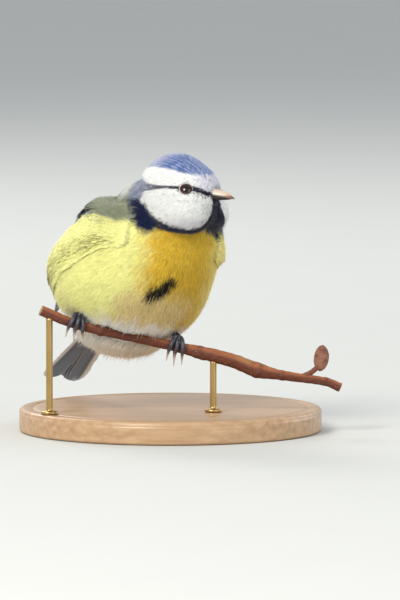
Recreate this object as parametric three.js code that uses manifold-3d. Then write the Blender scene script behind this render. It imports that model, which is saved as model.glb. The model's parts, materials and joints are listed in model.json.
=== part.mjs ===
// A life-size blue tit, fluffed up against the cold, gripping a cut length of twig that two rods hold
// over a flat base.
// Millimetres, +Z up. The base stands on z = 0 with its middle at the origin.
// +X runs along the perch towards the bird's left, and the breast faces -Y.
import * as THREE from "three";
import { mergeVertices } from "three/addons/utils/BufferGeometryUtils.js";
import Module from "manifold-3d";

const wasm = await Module();
wasm.setup();
const { Manifold, Mesh: SolidMesh } = wasm;

// Driving dimensions
const GAP = 0.32; // clearance between neighbouring pieces
const BLOB_GAP = 0.42; // added to the half axes of a blend that cuts its neighbour
const DEG = Math.PI / 180;

// The body frame has x towards the breast, y to the bird's left and z up its back. The head frame has x
// along the bill.
const BODY_CENTRE = [-11.6, -8, 46.5];
const BODY_YAW = -64 * DEG;
const BODY_LEAN = -11 * DEG; // leans to its left, down the slope of the perch
const HEAD_CENTRE = [3.5, -20, 73.4];
const HEAD_YAW = -30 * DEG; // the head looks round to its left
const HEAD_PITCH = 3 * DEG; // the bill dips a little

// Soft blends of egg-shaped lobes give the outlines: a centre, half axes, and a dip of the long axis.
const TORSO_SOFTNESS = 7;
const TORSO_LOBES = [
  { part: "belly", at: [0, 0, -3], r: [20.5, 21, 17] },
  { part: "breast", at: [8, 3, 8.5], r: [15.5, 18, 16] },
  { part: "back", at: [-6, -1, 6.5], r: [13.5, 14.5, 13] },
  { part: "mantle", at: [1, -2.5, 13.5], r: [12, 11.5, 11.5] },
  { part: "right flank", at: [1, -12, -3], r: [14, 11.5, 11] },
  { part: "left flank", at: [1, 10.6, 0], r: [14, 10.3, 11] },
  { part: "rump", at: [-15, 0.5, -6], r: [13, 11.5, 9], dip: 32 * DEG },
  { part: "vent", at: [-5, 1, -15.5], r: [12, 13, 7.5] },
  { part: "throat", at: [11.5, 6.8, 15.5], r: [11.5, 12.6, 11.5] },
  { part: "nape", at: [7.6, -2.4, 22], r: [9.5, 8.5, 9] },
];
const HEAD_SOFTNESS = 8;
const HEAD_LOBES = [
  { part: "cranium", at: [-1.8, 0, 2.4], r: [10.4, 9.6, 9.6] },
  { part: "forehead", at: [4.4, 0, 1.4], r: [7.6, 7, 7.2] },
  { part: "left cheek", at: [2.4, 5.2, -5.2], r: [10.2, 8, 7.4] },
  { part: "right cheek", at: [2.2, -4.6, -4.6], r: [10, 7.9, 7.4] },
  { part: "nape", at: [-5.5, 0, -1.5], r: [7, 8.6, 9] },
];
const COLLAR_THICKNESS = 4.5; // the neck wraps the underside of the head as a collar

const EYE_DIRECTION = [6.4, 8.5, 2.7]; // from the head's centre to the left eye
const EYE_RADIUS = 2.5;
const EYE_BULGE = 0.55; // how far the eyeball stands out of the face
const LID_RADIUS = 1.75;
const LID_THICKNESS = 0.34;

const BILL_ROOT = [9, 0, 0.9];
const BILL_TIP = [18.4, 0, 0.4];
const BILL_HALF_WIDTH = 2.3;
const UPPER_BILL_DEPTH = 2.5;
const LOWER_BILL_DEPTH = 1.5;
const NOSTRIL = { at: [12.4, 1.72, 2.2], r: [0.6, 0.45, 0.3] }; // on the left of the upper half

// The twig: x, z and radius along its middle line, in a plane turned a little about the upright.
const PERCH_Y = -17.4; // where x is 0
const PERCH_TURN = 8 * DEG;
const PERCH_LINE = [
  { x: -39, z: 38.6, r: 1.6 },
  { x: -29, z: 34.4, r: 1.5 },
  { x: -18.3, z: 31.7, r: 1.5 },
  { x: -8, z: 29.3, r: 1.45 },
  { x: 2, z: 26.9, r: 1.5 },
  { x: 9, z: 25.2, r: 2.05 },
  { x: 19, z: 22.5, r: 2.15 },
  { x: 26, z: 19.7, r: 2.4 },
  { x: 33, z: 18.1, r: 1.5 },
  { x: 40.5, z: 16.9, r: 1.4 },
  { x: 47.5, z: 15.7, r: 1.3 },
  { x: 51.5, z: 14.0, r: 1.45 },
];
const SPUR_FROM = 36.5; // x on the twig
const SPUR_RISE = 6.5;
const SPUR_REACH = 10.5;
const SPUR_RADIUS = 0.8;
const BUD = { r: 2.3, length: 8 };

// Toes wrap the twig. Places are x on the twig and angles are round it, from the front over the top to
// the back.
const FEET = [
  { side: "right", x: -28.4 },
  { side: "left", x: 1.6 },
];
const TOE_RADIUS = 0.78;
const TOE_SPREAD = 2.0;
const FOOT_BALL = { angle: 112 * DEG, radius: 1.35 };
const FRONT_TOE_END = -28 * DEG;
const HIND_TOE_END = 205 * DEG;
const CLAW_LENGTH = 3.4;
const HIND_CLAW_LENGTH = 4.6;
const TARSUS_LENGTH = 7;

const TAIL_ROOT = [-15.1, 1.5, 41.5];
const TAIL_TIP = [-34.8, 37.6, 13.4];
const TAIL_PAIRS = 6;
const TAIL_FAN = 5.2 * DEG; // of the outermost pair
const TAIL_FEATHER_HALF_WIDTH = 3.3;
const TAIL_LAYER = 0.42;
const VANE_THICKNESS = 0.52;

// The closed wing is a sheet laid on the body's side: its middle line in the body frame, then half
// widths along it.
const WING_LINE = [
  [8, 13.5, 14.5],
  [0, 14.5, 12],
  [-11, 14.5, 5.5],
  [-23, 11, -4.5],
  [-36, 6.5, -15],
];
const WING_AXIS_FROM = [12, 0, 8];
const WING_AXIS_TO = [-36, 0, -24];
const WING_HALF_WIDTHS = [4, 7.5, 8.5, 6.5, 2];
const WING_ROUND = 18; // radius of the body under it
const WING_LIFT = 0.85; // of its lowest feathers above the body

const STAND_RADIUS = 46;
const STAND_THICKNESS = 7;
const STAND_BEVEL = 1.2;
const ROD_RADIUS = 1;
const ROD_FLANGE = { radius: 2.6, height: 0.9 };
const ROD_PLACES = [
  { side: "left", x: 13 },
  { side: "right", x: -36.4 },
];

// Solids
const bare = (geometry) => {
  const copy = geometry.clone();
  copy.deleteAttribute("normal");
  copy.deleteAttribute("uv");
  return mergeVertices(copy, 1e-5);
};

// A closed three.js geometry as a solid, turned the right way out if its faces point in.
function solid(geometry) {
  const merged = bare(geometry);
  const vertProperties = new Float32Array(merged.attributes.position.array);
  const triVerts = new Uint32Array(merged.index.array);
  const corner = (i) => new THREE.Vector3().fromArray(vertProperties, 3 * triVerts[i]);
  let volume = 0;
  for (let i = 0; i < triVerts.length; i += 3) volume += corner(i).cross(corner(i + 1)).dot(corner(i + 2));
  if (volume < 0) triVerts.reverse();
  return new Manifold(new SolidMesh({ numProp: 3, vertProperties, triVerts }));
}

const moved = (piece, matrix) => piece.transform(matrix.elements);
const joined = (pieces) => pieces.reduce((whole, piece) => whole.add(piece));

// The largest closed surface of a solid.
function largest(piece) {
  return piece.decompose().reduce((best, body) => (body.volume() > best.volume() ? body : best));
}

function frameOf(centre, yaw, pitch, lean) {
  const turn = new THREE.Matrix4().makeRotationZ(yaw);
  turn.multiply(new THREE.Matrix4().makeRotationY(pitch));
  turn.multiply(new THREE.Matrix4().makeRotationX(lean));
  return turn.setPosition(...centre);
}

const vector = (xyz) => new THREE.Vector3(...xyz);

// How far a point is inside a blend of lobes: 0 on its surface and positive inside.
function depthIn({ lobes, softness }, grow, p) {
  let sum = 0;
  for (const { at, r, dip = 0 } of lobes) {
    const dx = p.x - at[0];
    const dz = p.z - at[2];
    const x = (dx * Math.cos(dip) + dz * Math.sin(dip)) / (r[0] + grow);
    const y = (p.y - at[1]) / (r[1] + grow);
    const z = (dz * Math.cos(dip) - dx * Math.sin(dip)) / (r[2] + grow);
    sum += Math.exp(-softness * (Math.hypot(x, y, z) - 1));
  }
  return sum - 1;
}

// Where a ray from the frame's origin leaves the blend.
function surfaceAlong(blend, grow, direction) {
  const ray = direction.clone().normalize();
  let inside = 0;
  let outside = 60;
  for (let step = 0; step < 26; step++) {
    const middle = (inside + outside) / 2;
    if (depthIn(blend, grow, ray.clone().multiplyScalar(middle)) > 0) inside = middle;
    else outside = middle;
  }
  return ray.multiplyScalar(inside);
}

// The blend's outward normal at a point, by small differences.
function normalAt(blend, p) {
  const h = 0.05;
  const slope = ["x", "y", "z"].map((axis) => {
    const ahead = p.clone();
    ahead[axis] += h;
    const behind = p.clone();
    behind[axis] -= h;
    return depthIn(blend, 0, behind) - depthIn(blend, 0, ahead);
  });
  return vector(slope).normalize();
}

// A point moved out along the normal until it stands at least the given height over the blend.
function lifted(blend, p, height) {
  const point = p.clone();
  const step = 0.25;
  while (depthIn(blend, height, point) > 0) point.addScaledVector(normalAt(blend, point), step);
  return point;
}

// The closed surface of a blend.
function blob(blend, detail, grow = 0) {
  const ball = bare(new THREE.IcosahedronGeometry(1, detail));
  const points = ball.attributes.position;
  for (let i = 0; i < points.count; i++) {
    const p = surfaceAlong(blend, grow, new THREE.Vector3().fromBufferAttribute(points, i));
    points.setXYZ(i, p.x, p.y, p.z);
  }
  return solid(ball);
}

// A closed skin over rings of points, with a fan at each end. The two halves of a ring are split into
// triangles alike.
function loft(rings) {
  const n = rings[0].length;
  const middle = (ring) => ring.reduce((sum, p) => sum.add(p), new THREE.Vector3()).divideScalar(n);
  const points = [...rings.flat(), middle(rings[0]), middle(rings.at(-1))];
  const first = rings.length * n;
  const index = [];
  for (let i = 0; i + 1 < rings.length; i++) {
    for (let j = 0; j < n; j++) {
      const a = i * n + j;
      const b = i * n + ((j + 1) % n);
      if (j < n / 2) index.push(a, b, a + n, b, b + n, a + n);
      else index.push(a, b, b + n, a, b + n, a + n);
    }
  }
  for (let j = 0; j < n; j++) {
    const k = (j + 1) % n;
    index.push(first, k, j);
    index.push(first + 1, (rings.length - 1) * n + j, (rings.length - 1) * n + k);
  }
  const geometry = new THREE.BufferGeometry().setFromPoints(points).setIndex(index);
  return solid(geometry);
}

// A round tube along points, with a radius at each. No tube here runs along OFF_AXIS.
const OFF_AXIS = [0.31, 0.9, 0.27];
function tube(points, radii, sides = 8) {
  const rings = points.map((p, i) => {
    const before = points[Math.max(i - 1, 0)];
    const after = points[Math.min(i + 1, points.length - 1)];
    const forward = after.clone().sub(before).normalize();
    const side = vector(OFF_AXIS).cross(forward).normalize();
    const up = forward.clone().cross(side);
    return Array.from({ length: sides }, (_, j) => {
      const turn = (2 * Math.PI * j) / sides;
      return p
        .clone()
        .addScaledVector(side, radii[i] * Math.cos(turn))
        .addScaledVector(up, radii[i] * Math.sin(turn));
    });
  });
  return loft(rings);
}

// A value at share s along evenly spaced values.
function along(values, s) {
  const place = Math.min(Math.max(s, 0), 1) * (values.length - 1);
  const i = Math.min(Math.floor(place), values.length - 2);
  return values[i] + (values[i + 1] - values[i]) * (place - i);
}

// Vanes are thin plates with a round tip. Stations are shares of the length, and widths are shares of
// the full width.
const LONG_VANE = { stations: [0, 0.4, 0.8, 0.94, 1], widths: [0.5, 0.9, 1, 0.7, 0.25] };
const SHORT_VANE = { stations: [0, 0.6, 0.9, 1], widths: [0.6, 1, 0.75, 0.3] };

// at(s) gives a vane's point, its side direction and its normal at share s of its length.
function vane(at, halfWidth, { stations, widths }) {
  const half = VANE_THICKNESS / 2;
  const rings = stations.map((s, i) => {
    const { point, side, normal } = at(s);
    const w = halfWidth * widths[i];
    const corner = (across, up) =>
      point
        .clone()
        .addScaledVector(side, across * w)
        .addScaledVector(normal, up * half);
    return [corner(-1, -1), corner(1, -1), corner(1, 1), corner(-1, 1)];
  });
  return loft(rings);
}

// Frames
const bodyFrame = frameOf(BODY_CENTRE, BODY_YAW, 0, BODY_LEAN);
const headFrame = frameOf(HEAD_CENTRE, HEAD_YAW, HEAD_PITCH, 0);
const bodyLeft = new THREE.Vector3().setFromMatrixColumn(bodyFrame, 1);
const torsoBlend = { lobes: TORSO_LOBES, softness: TORSO_SOFTNESS };
const headBlend = { lobes: HEAD_LOBES, softness: HEAD_SOFTNESS };

// Perch
const perchPoint = (x, z) => new THREE.Vector3(x, PERCH_Y + x * Math.tan(PERCH_TURN), z);
const perchCurve = new THREE.CatmullRomCurve3(PERCH_LINE.map(({ x, z }) => perchPoint(x, z)));
const perchFirst = PERCH_LINE[0].x;
const perchLength = PERCH_LINE.at(-1).x - perchFirst;

// The twig's middle, radius and directions where it passes x.
function perchAt(x) {
  let low = 0;
  let high = 1;
  for (let step = 0; step < 24; step++) {
    const middle = (low + high) / 2;
    if (perchCurve.getPoint(middle).x < x) low = middle;
    else high = middle;
  }
  const tangent = perchCurve.getTangent(low);
  const up = new THREE.Vector3(0, 0, 1).addScaledVector(tangent, -tangent.z).normalize();
  const front = up.clone().cross(tangent).multiplyScalar(-1).normalize();
  const radius = along(PERCH_LINE.map(({ r }) => r), low);
  return { point: perchCurve.getPoint(low), radius, tangent, up, front };
}

function makePerch(grow = 0) {
  const steps = 32;
  const places = Array.from({ length: steps + 1 }, (_, i) => perchFirst + (perchLength * i) / steps);
  const twig = tube(
    places.map((x) => perchAt(x).point),
    places.map((x) => perchAt(x).radius + grow),
    10,
  );
  const { point, tangent } = perchAt(SPUR_FROM);
  const across = new THREE.Vector3(tangent.x, tangent.y, 0).normalize();
  const spur = [];
  const spurSteps = 8;
  for (let i = 0; i <= spurSteps; i++) {
    const turn = (i / spurSteps) * 0.5 * Math.PI;
    spur.push(
      point
        .clone()
        .addScaledVector(across, SPUR_REACH * Math.sin(turn) * 0.9)
        .add(new THREE.Vector3(0, 0, SPUR_RISE * (1 - Math.cos(turn)) - 0.4)),
    );
  }
  const spurTube = tube(spur, spur.map(() => SPUR_RADIUS + grow), 6);
  const budSteps = 7;
  const budBase = spur.at(-2);
  const budUp = new THREE.Vector3(0.12, 0, 1).normalize();
  const budLine = Array.from({ length: budSteps + 1 }, (_, i) =>
    budBase.clone().addScaledVector(budUp, (i / budSteps - 0.42) * BUD.length),
  );
  const bud = tube(
    budLine,
    budLine.map((_, i) => BUD.r * Math.sqrt(Math.max(1 - (2 * (i / budSteps) - 1) ** 2, 0.03)) + grow),
    9,
  );
  return joined([twig, spurTube, bud]);
}

// Feet
function roundPerch(x, shift, angle, clearance) {
  const here = perchAt(x + shift);
  const reach = here.radius + clearance;
  return here.point
    .clone()
    .addScaledVector(here.front, reach * Math.cos(angle))
    .addScaledVector(here.up, reach * Math.sin(angle));
}

function makeToe(x, spread, end, clawLength) {
  const steps = 6;
  const clearance = TOE_RADIUS + GAP;
  const line = [];
  const radii = [];
  for (let i = 0; i <= steps; i++) {
    const s = i / steps;
    const angle = FOOT_BALL.angle + (end - FOOT_BALL.angle) * s;
    line.push(roundPerch(x, spread * Math.sqrt(s), angle, clearance + (1 - s) * 0.35));
    radii.push(TOE_RADIUS * (1 - 0.22 * s));
  }
  const pieces = [tube(line, radii, 6)];
  // The claw leaves the toe's end, drops and curls in under the twig.
  const last = line.at(-1);
  const out = last.clone().sub(line.at(-2)).normalize();
  const down = new THREE.Vector3(0, 0, -1);
  const clawSteps = 3;
  const claw = Array.from({ length: clawSteps + 1 }, (_, i) => {
    const s = i / clawSteps;
    return last
      .clone()
      .addScaledVector(out, clawLength * 0.62 * s)
      .addScaledVector(down, clawLength * 0.55 * s * s);
  });
  pieces.push(tube(claw, claw.map((_, i) => 0.52 * (1 - (0.8 * i) / clawSteps)), 5));
  return joined(pieces);
}

const footBall = (x) => roundPerch(x, 0, FOOT_BALL.angle, TOE_RADIUS + GAP + 0.45);

function makeTarsus(x, grow) {
  const ball = footBall(x);
  const top = vector(BODY_CENTRE).sub(ball).normalize().multiplyScalar(TARSUS_LENGTH + grow).add(ball);
  return tube([ball, ball.clone().lerp(top, 0.5), top], [1 + grow, 0.85 + grow, 1.1 + grow], 8);
}

function makeLeg(x) {
  const ball = footBall(x);
  const toes = [-1, 0, 1].map((k) => makeToe(x, k * TOE_SPREAD, FRONT_TOE_END, CLAW_LENGTH));
  const hind = makeToe(x, 0.3, HIND_TOE_END, HIND_CLAW_LENGTH);
  const pad = moved(
    solid(new THREE.IcosahedronGeometry(FOOT_BALL.radius, 1)),
    new THREE.Matrix4().makeTranslation(ball.x, ball.y, ball.z),
  );
  return joined([pad, makeTarsus(x, 0), ...toes, hind]);
}

// The space that a foot takes out of the belly's down: a smooth pocket for the toes and a sleeve for
// the shank.
function makeFootPocket(x) {
  const { point, radius, up } = perchAt(x);
  const middle = point.clone().addScaledVector(up, 0.4);
  const across = radius + 2 * TOE_RADIUS + 1.3;
  const pocket = moved(
    solid(new THREE.IcosahedronGeometry(1, 2)),
    new THREE.Matrix4().compose(
      middle,
      new THREE.Quaternion().setFromUnitVectors(new THREE.Vector3(1, 0, 0), perchAt(x).tangent),
      new THREE.Vector3(TOE_SPREAD + 2 * TOE_RADIUS + 1.2, across, across),
    ),
  );
  return joined([pocket, makeTarsus(x, GAP)]);
}

// Head
function eyePlace(sign) {
  const direction = new THREE.Vector3(EYE_DIRECTION[0], sign * EYE_DIRECTION[1], EYE_DIRECTION[2]);
  const surface = surfaceAlong(headBlend, 0, direction);
  const normal = normalAt(headBlend, surface);
  return { surface, normal, centre: surface.clone().addScaledVector(normal, EYE_BULGE - EYE_RADIUS) };
}

function makeEye(sign, grow = 0) {
  const { x, y, z } = eyePlace(sign).centre;
  const ball = solid(new THREE.IcosahedronGeometry(EYE_RADIUS + grow, 3));
  return moved(ball, new THREE.Matrix4().makeTranslation(x, y, z));
}

function makeLid(sign) {
  const { surface, normal } = eyePlace(sign);
  const turn = new THREE.Quaternion().setFromUnitVectors(new THREE.Vector3(0, 0, 1), normal);
  const place = surface.clone().addScaledVector(normal, 0.02);
  const matrix = new THREE.Matrix4().compose(place, turn, new THREE.Vector3(1.12, 1, 1));
  return moved(solid(new THREE.TorusGeometry(LID_RADIUS, LID_THICKNESS, 5, 18)), matrix);
}

// Half of the bill: up is +1 for the upper half and -1 for the lower.
function makeBill(up, depth) {
  const root = vector(BILL_ROOT);
  const tip = vector(BILL_TIP);
  const reach = up > 0 ? 1 : 0.93;
  const arch = 7;
  const rings = [0, 0.25, 0.45, 0.62, 0.77, 0.89, 0.97, 1].map((s) => {
    const middle = root.clone().lerp(tip, s * reach);
    const taper = Math.pow(1 - Math.pow(s, 1.7), 0.8);
    const w = 0.12 + BILL_HALF_WIDTH * taper;
    const h = 0.14 + depth * taper * (up > 0 ? 1 : 0.9);
    const sag = up > 0 ? 0.35 * s * s : 0;
    const edge = up * (GAP / 2);
    return Array.from({ length: arch }, (_, j) => {
      const turn = (Math.PI * j) / (arch - 1);
      const height = middle.z + edge + up * h * Math.sin(turn) - sag;
      return new THREE.Vector3(middle.x, w * Math.cos(turn), height);
    });
  });
  return loft(rings);
}

const makeNostrils = () =>
  joined(
    [1, -1].map((sign) => {
      const [x, y, z] = NOSTRIL.at;
      const pit = new THREE.Matrix4().makeTranslation(x, sign * y, z).scale(vector(NOSTRIL.r));
      return moved(solid(new THREE.IcosahedronGeometry(1, 1)), pit);
    }),
  );

// Tail
function makeTail() {
  const root = vector(TAIL_ROOT);
  const tip = vector(TAIL_TIP);
  const out = tip.clone().sub(root);
  const length = out.length();
  out.normalize();
  const left = bodyLeft.clone().addScaledVector(out, -bodyLeft.dot(out)).normalize();
  const top = left.clone().cross(out);
  const vanes = [];
  for (let pair = 0; pair < TAIL_PAIRS; pair++) {
    for (const sign of [-1, 1]) {
      const fan = sign * TAIL_FAN * ((pair + 0.5) / (TAIL_PAIRS - 0.5));
      const line = out.clone().multiplyScalar(Math.cos(fan)).addScaledVector(left, Math.sin(fan));
      const side = left.clone().multiplyScalar(Math.cos(fan)).addScaledVector(out, -Math.sin(fan));
      const layer = pair + (sign > 0 ? 0.5 : 0);
      const reach = length * (1 - 0.035 * Math.abs(pair - 3.5) / 3.5);
      const at = (s) => ({
        point: root
          .clone()
          .addScaledVector(line, s * reach)
          .addScaledVector(top, -layer * TAIL_LAYER - 1.6 * s * (1 - s)),
        side,
        normal: top,
      });
      vanes.push(vane(at, TAIL_FEATHER_HALF_WIDTH, LONG_VANE));
    }
  }
  return joined(vanes);
}

// Wings, made for the left side and mirrored for the right by sign
function wingSheet(sign) {
  const flip = ([x, y, z]) => new THREE.Vector3(x, sign * y, z);
  const line = new THREE.CatmullRomCurve3(WING_LINE.map(flip));
  const from = vector(WING_AXIS_FROM);
  const axis = vector(WING_AXIS_TO).sub(from).normalize();
  // s runs from the wrist to the tip, t from the lower edge (-1) to the upper, and lift is the height
  // over the body.
  return (s, t, lift) => {
    const middle = line.getPoint(Math.min(s, 1));
    const forward = line.getTangent(Math.min(s, 1));
    const foot = from.clone().addScaledVector(axis, middle.clone().sub(from).dot(axis));
    const outward = middle.clone().sub(foot);
    const normal = outward.addScaledVector(forward, -outward.dot(forward)).normalize();
    const across = normal.clone().cross(forward).multiplyScalar(sign).normalize();
    const b = t * along(WING_HALF_WIDTHS, s);
    const bend = b / WING_ROUND;
    const out = normal.clone().multiplyScalar(Math.cos(bend)).addScaledVector(across, Math.sin(bend));
    const point = middle
      .clone()
      .addScaledVector(across, WING_ROUND * Math.sin(bend))
      .addScaledVector(normal, WING_ROUND * (Math.cos(bend) - 1))
      .addScaledVector(out, lift);
    return { point: lifted(torsoBlend, point, WING_LIFT + lift), normal: out };
  };
}

// A tier of feathers: roots and tips spread evenly between two places on the sheet, each lying over the
// one before.
// Places are shares along and across the sheet. w is half a feather's width, and lift its height over
// the body.
const WING_TIERS = [
  {
    part: "primaries",
    count: 6,
    from: [[0.42, -0.5], [0.42, 0]],
    to: [[0.86, -0.9], [1, 0.2]],
    w: 2.3,
    lift: 0,
    form: LONG_VANE,
  },
  {
    part: "secondaries",
    count: 5,
    from: [[0.36, -0.4], [0.36, 0.5]],
    to: [[0.78, -0.5], [0.72, 0.4]],
    w: 2.8,
    lift: 0.6,
    form: LONG_VANE,
  },
  {
    part: "tertials",
    count: 3,
    from: [[0.3, 0.3], [0.3, 0.8]],
    to: [[0.7, 0.4], [0.56, 0.85]],
    w: 3,
    lift: 1.2,
    form: SHORT_VANE,
  },
  {
    part: "primary coverts",
    count: 3,
    from: [[0.2, -0.7], [0.24, -0.4]],
    to: [[0.44, -0.95], [0.52, -0.6]],
    w: 1.7,
    lift: 0.4,
    form: SHORT_VANE,
  },
  {
    part: "greater coverts",
    count: 5,
    from: [[0.2, -0.5], [0.2, 0.8]],
    to: [[0.46, -0.6], [0.42, 0.85]],
    w: 2.5,
    lift: 1.1,
    form: LONG_VANE,
  },
  {
    part: "median coverts",
    count: 4,
    from: [[0.1, -0.6], [0.1, 0.75]],
    to: [[0.28, -0.7], [0.26, 0.8]],
    w: 2.5,
    lift: 1.4,
    form: SHORT_VANE,
  },
];
const FEATHER_STEP = 0.14; // each feather of a tier above the one before
const FEATHER_SINK = 0.5; // a feather's tip below its root

function makeWing(sign) {
  const sheet = wingSheet(sign);
  const mix = (a, b, k) => [a[0] + (b[0] - a[0]) * k, a[1] + (b[1] - a[1]) * k];
  const pieces = [];
  for (const { count, from, to, w, lift, form } of WING_TIERS) {
    for (let i = 0; i < count; i++) {
      const root = mix(from[0], from[1], i / (count - 1));
      const tip = mix(to[0], to[1], i / (count - 1));
      const height = (share) => lift + i * FEATHER_STEP - FEATHER_SINK * share;
      const at = (share) => {
        const here = sheet(...mix(root, tip, share), height(share));
        const ahead = sheet(...mix(root, tip, share + 0.03), height(share));
        const way = ahead.point.clone().sub(here.point).normalize();
        const side = here.normal.clone().cross(way).normalize();
        return { point: here.point, side, normal: way.clone().cross(side) };
      };
      pieces.push(vane(at, w, form));
    }
  }
  // The arm and the lesser coverts: a lens that the feathers root in.
  const rows = 7;
  const columns = 5;
  const rings = Array.from({ length: rows + 1 }, (_, i) => {
    const s = 0.01 + (0.5 * i) / rows;
    const full = Math.sqrt(Math.max(1 - ((2 * i) / rows - 1) ** 2, 0.08));
    const edge = (j, up) => {
      const across = (2 * j) / columns - 1;
      const thick = full * Math.sqrt(Math.max(1 - across ** 2, 0.06));
      const rise = up > 0 ? 0.4 + 1.4 * thick : 0.4 - 0.6 * thick;
      return sheet(s, 0.85 * across * Math.max(full, 0.4), rise).point;
    };
    const columnsInOrder = Array.from({ length: columns + 1 }, (_, j) => j);
    return [...columnsInOrder.map((j) => edge(j, -1)), ...columnsInOrder.reverse().map((j) => edge(j, 1))];
  });
  return joined([loft(rings), ...pieces]);
}

// Stand
function makeBase() {
  const r = STAND_RADIUS;
  const h = STAND_THICKNESS;
  const profile = [
    [0, 0],
    [r, 0],
    [r, h - STAND_BEVEL],
    [r - STAND_BEVEL, h],
    [0, h],
  ].map(([x, y]) => new THREE.Vector2(x, y));
  const upright = new THREE.Matrix4().makeRotationX(Math.PI / 2);
  return moved(solid(new THREE.LatheGeometry(profile, 60)), upright);
}

function makeRod(x, perchCut) {
  const { point } = perchAt(x);
  const foot = STAND_THICKNESS + GAP;
  const profile = [
    [0, 0],
    [ROD_FLANGE.radius, 0],
    [ROD_FLANGE.radius, ROD_FLANGE.height],
    [ROD_RADIUS, ROD_FLANGE.height],
    [ROD_RADIUS, point.z - foot],
    [0, point.z - foot],
  ].map(([px, py]) => new THREE.Vector2(px, py));
  const upright = new THREE.Matrix4().makeRotationX(Math.PI / 2);
  const rod = moved(solid(new THREE.LatheGeometry(profile, 16)), upright);
  return largest(rod.translate([point.x, point.y, foot]).subtract(perchCut));
}

// Assembly
const perch = makePerch();
const perchCut = makePerch(GAP);
const legs = FEET.map(({ side, x }) => ({ side, piece: makeLeg(x) }));
const footPockets = joined(FEET.map(({ x }) => makeFootPocket(x)));

const headBlob = moved(blob(headBlend, 8), headFrame);
const headCut = moved(blob(headBlend, 6, BLOB_GAP), headFrame);
const collarCut = moved(blob(headBlend, 6, COLLAR_THICKNESS), headFrame);
const collarOuterCut = moved(blob(headBlend, 6, COLLAR_THICKNESS + BLOB_GAP), headFrame);
const torsoBlob = moved(blob(torsoBlend, 9), bodyFrame);
const torsoCut = moved(blob(torsoBlend, 9, BLOB_GAP), bodyFrame);

const eyes = [1, -1].map((sign) => ({ sign, piece: moved(makeEye(sign), headFrame) }));
const sockets = joined([1, -1].map((sign) => moved(makeEye(sign, GAP), headFrame)));
const lids = joined([1, -1].map((sign) => moved(makeLid(sign), headFrame)));
const upperBill = moved(makeBill(1, UPPER_BILL_DEPTH).subtract(makeNostrils()), headFrame);
const lowerBill = moved(makeBill(-1, LOWER_BILL_DEPTH), headFrame);

const head = largest(headBlob.add(lids).subtract(sockets));
const neck = largest(torsoBlob.intersect(collarCut).subtract(headCut));
const torso = largest(torsoBlob.subtract(collarOuterCut).subtract(perchCut).subtract(footPockets));
const tail = largest(makeTail().subtract(torsoCut));
const wings = [1, -1].map((sign) => ({
  sign,
  piece: largest(moved(makeWing(sign), bodyFrame).subtract(torsoCut).subtract(collarOuterCut)),
}));

// Colours
const finish = (color, roughness, metalness = 0) =>
  new THREE.MeshStandardMaterial({ color, roughness, metalness });
const WHITE_AND_BLUE = finish(0xe9ebf0, 0.8);
const NAVY = finish(0x1f2a55, 0.8);
const YELLOW = finish(0xd9b337, 0.85);
const WING_BLUE = finish(0x4f76a8, 0.7);
const TAIL_BLUE = finish(0x6d8bab, 0.7);
const HORN = finish(0x6b665f, 0.4);
const EYE_BROWN = finish(0x22120c, 0.05);
const LEG_GREY = finish(0x5a6273, 0.5);
const BARK = finish(0x8a4a28, 0.8);
const WOOD = finish(0xa9825a, 0.45);
const BRASS = finish(0xb99a5b, 0.3, 1);

const model = new THREE.Group();
const bird = new THREE.Group();
bird.applyMatrix4(bodyFrame);
const birdHead = new THREE.Group();
birdHead.applyMatrix4(bodyFrame.clone().invert().multiply(headFrame));
bird.add(birdHead);
const stand = new THREE.Group();
model.add(bird, stand);
model.updateMatrixWorld(true);

// A named mesh in a group, with its geometry in that group's frame.
function add(group, name, piece, material) {
  const { vertProperties, triVerts } = piece.getMesh();
  const geometry = new THREE.BufferGeometry();
  geometry.setAttribute("position", new THREE.BufferAttribute(new Float32Array(vertProperties), 3));
  geometry.setIndex(new THREE.BufferAttribute(new Uint32Array(triVerts), 1));
  geometry.applyMatrix4(group.matrixWorld.clone().invert());
  geometry.computeVertexNormals();
  const mesh = new THREE.Mesh(geometry, material);
  mesh.name = name;
  group.add(mesh);
}

const sideName = (sign) => (sign > 0 ? "left" : "right");
add(bird, "torso", torso, YELLOW);
add(bird, "neck", neck, NAVY);
add(birdHead, "head", head, WHITE_AND_BLUE);
add(birdHead, "bill_upper", largest(upperBill.subtract(headCut)), HORN);
add(birdHead, "bill_lower", largest(lowerBill.subtract(headCut)), HORN);
for (const { sign, piece } of eyes) add(birdHead, `eye_${sideName(sign)}`, piece, EYE_BROWN);
for (const { sign, piece } of wings) add(bird, `wing_${sideName(sign)}`, piece, WING_BLUE);
add(bird, "tail", tail, TAIL_BLUE);
for (const { side, piece } of legs) add(bird, `leg_${side}`, piece, LEG_GREY);
add(stand, "perch", perch, BARK);
add(stand, "stand_base", makeBase(), WOOD);
for (const { side, x } of ROD_PLACES) add(stand, `stand_rod_${side}`, makeRod(x, perchCut), BRASS);

export default model;
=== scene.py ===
"""The looks of a life-size blue tit on a cut length of twig, over a flat base.

Millimetres are used throughout and turned into metres where a mesh is made. +Z is up, +X runs along the
twig towards the bird's left, and the breast faces -Y.
"""

import sys

import json
import logging
import math
from dataclasses import dataclass, field
from enum import Enum
from typing import Callable

import bpy
import numpy as np
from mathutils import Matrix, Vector
from mathutils.bvhtree import BVHTree

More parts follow.
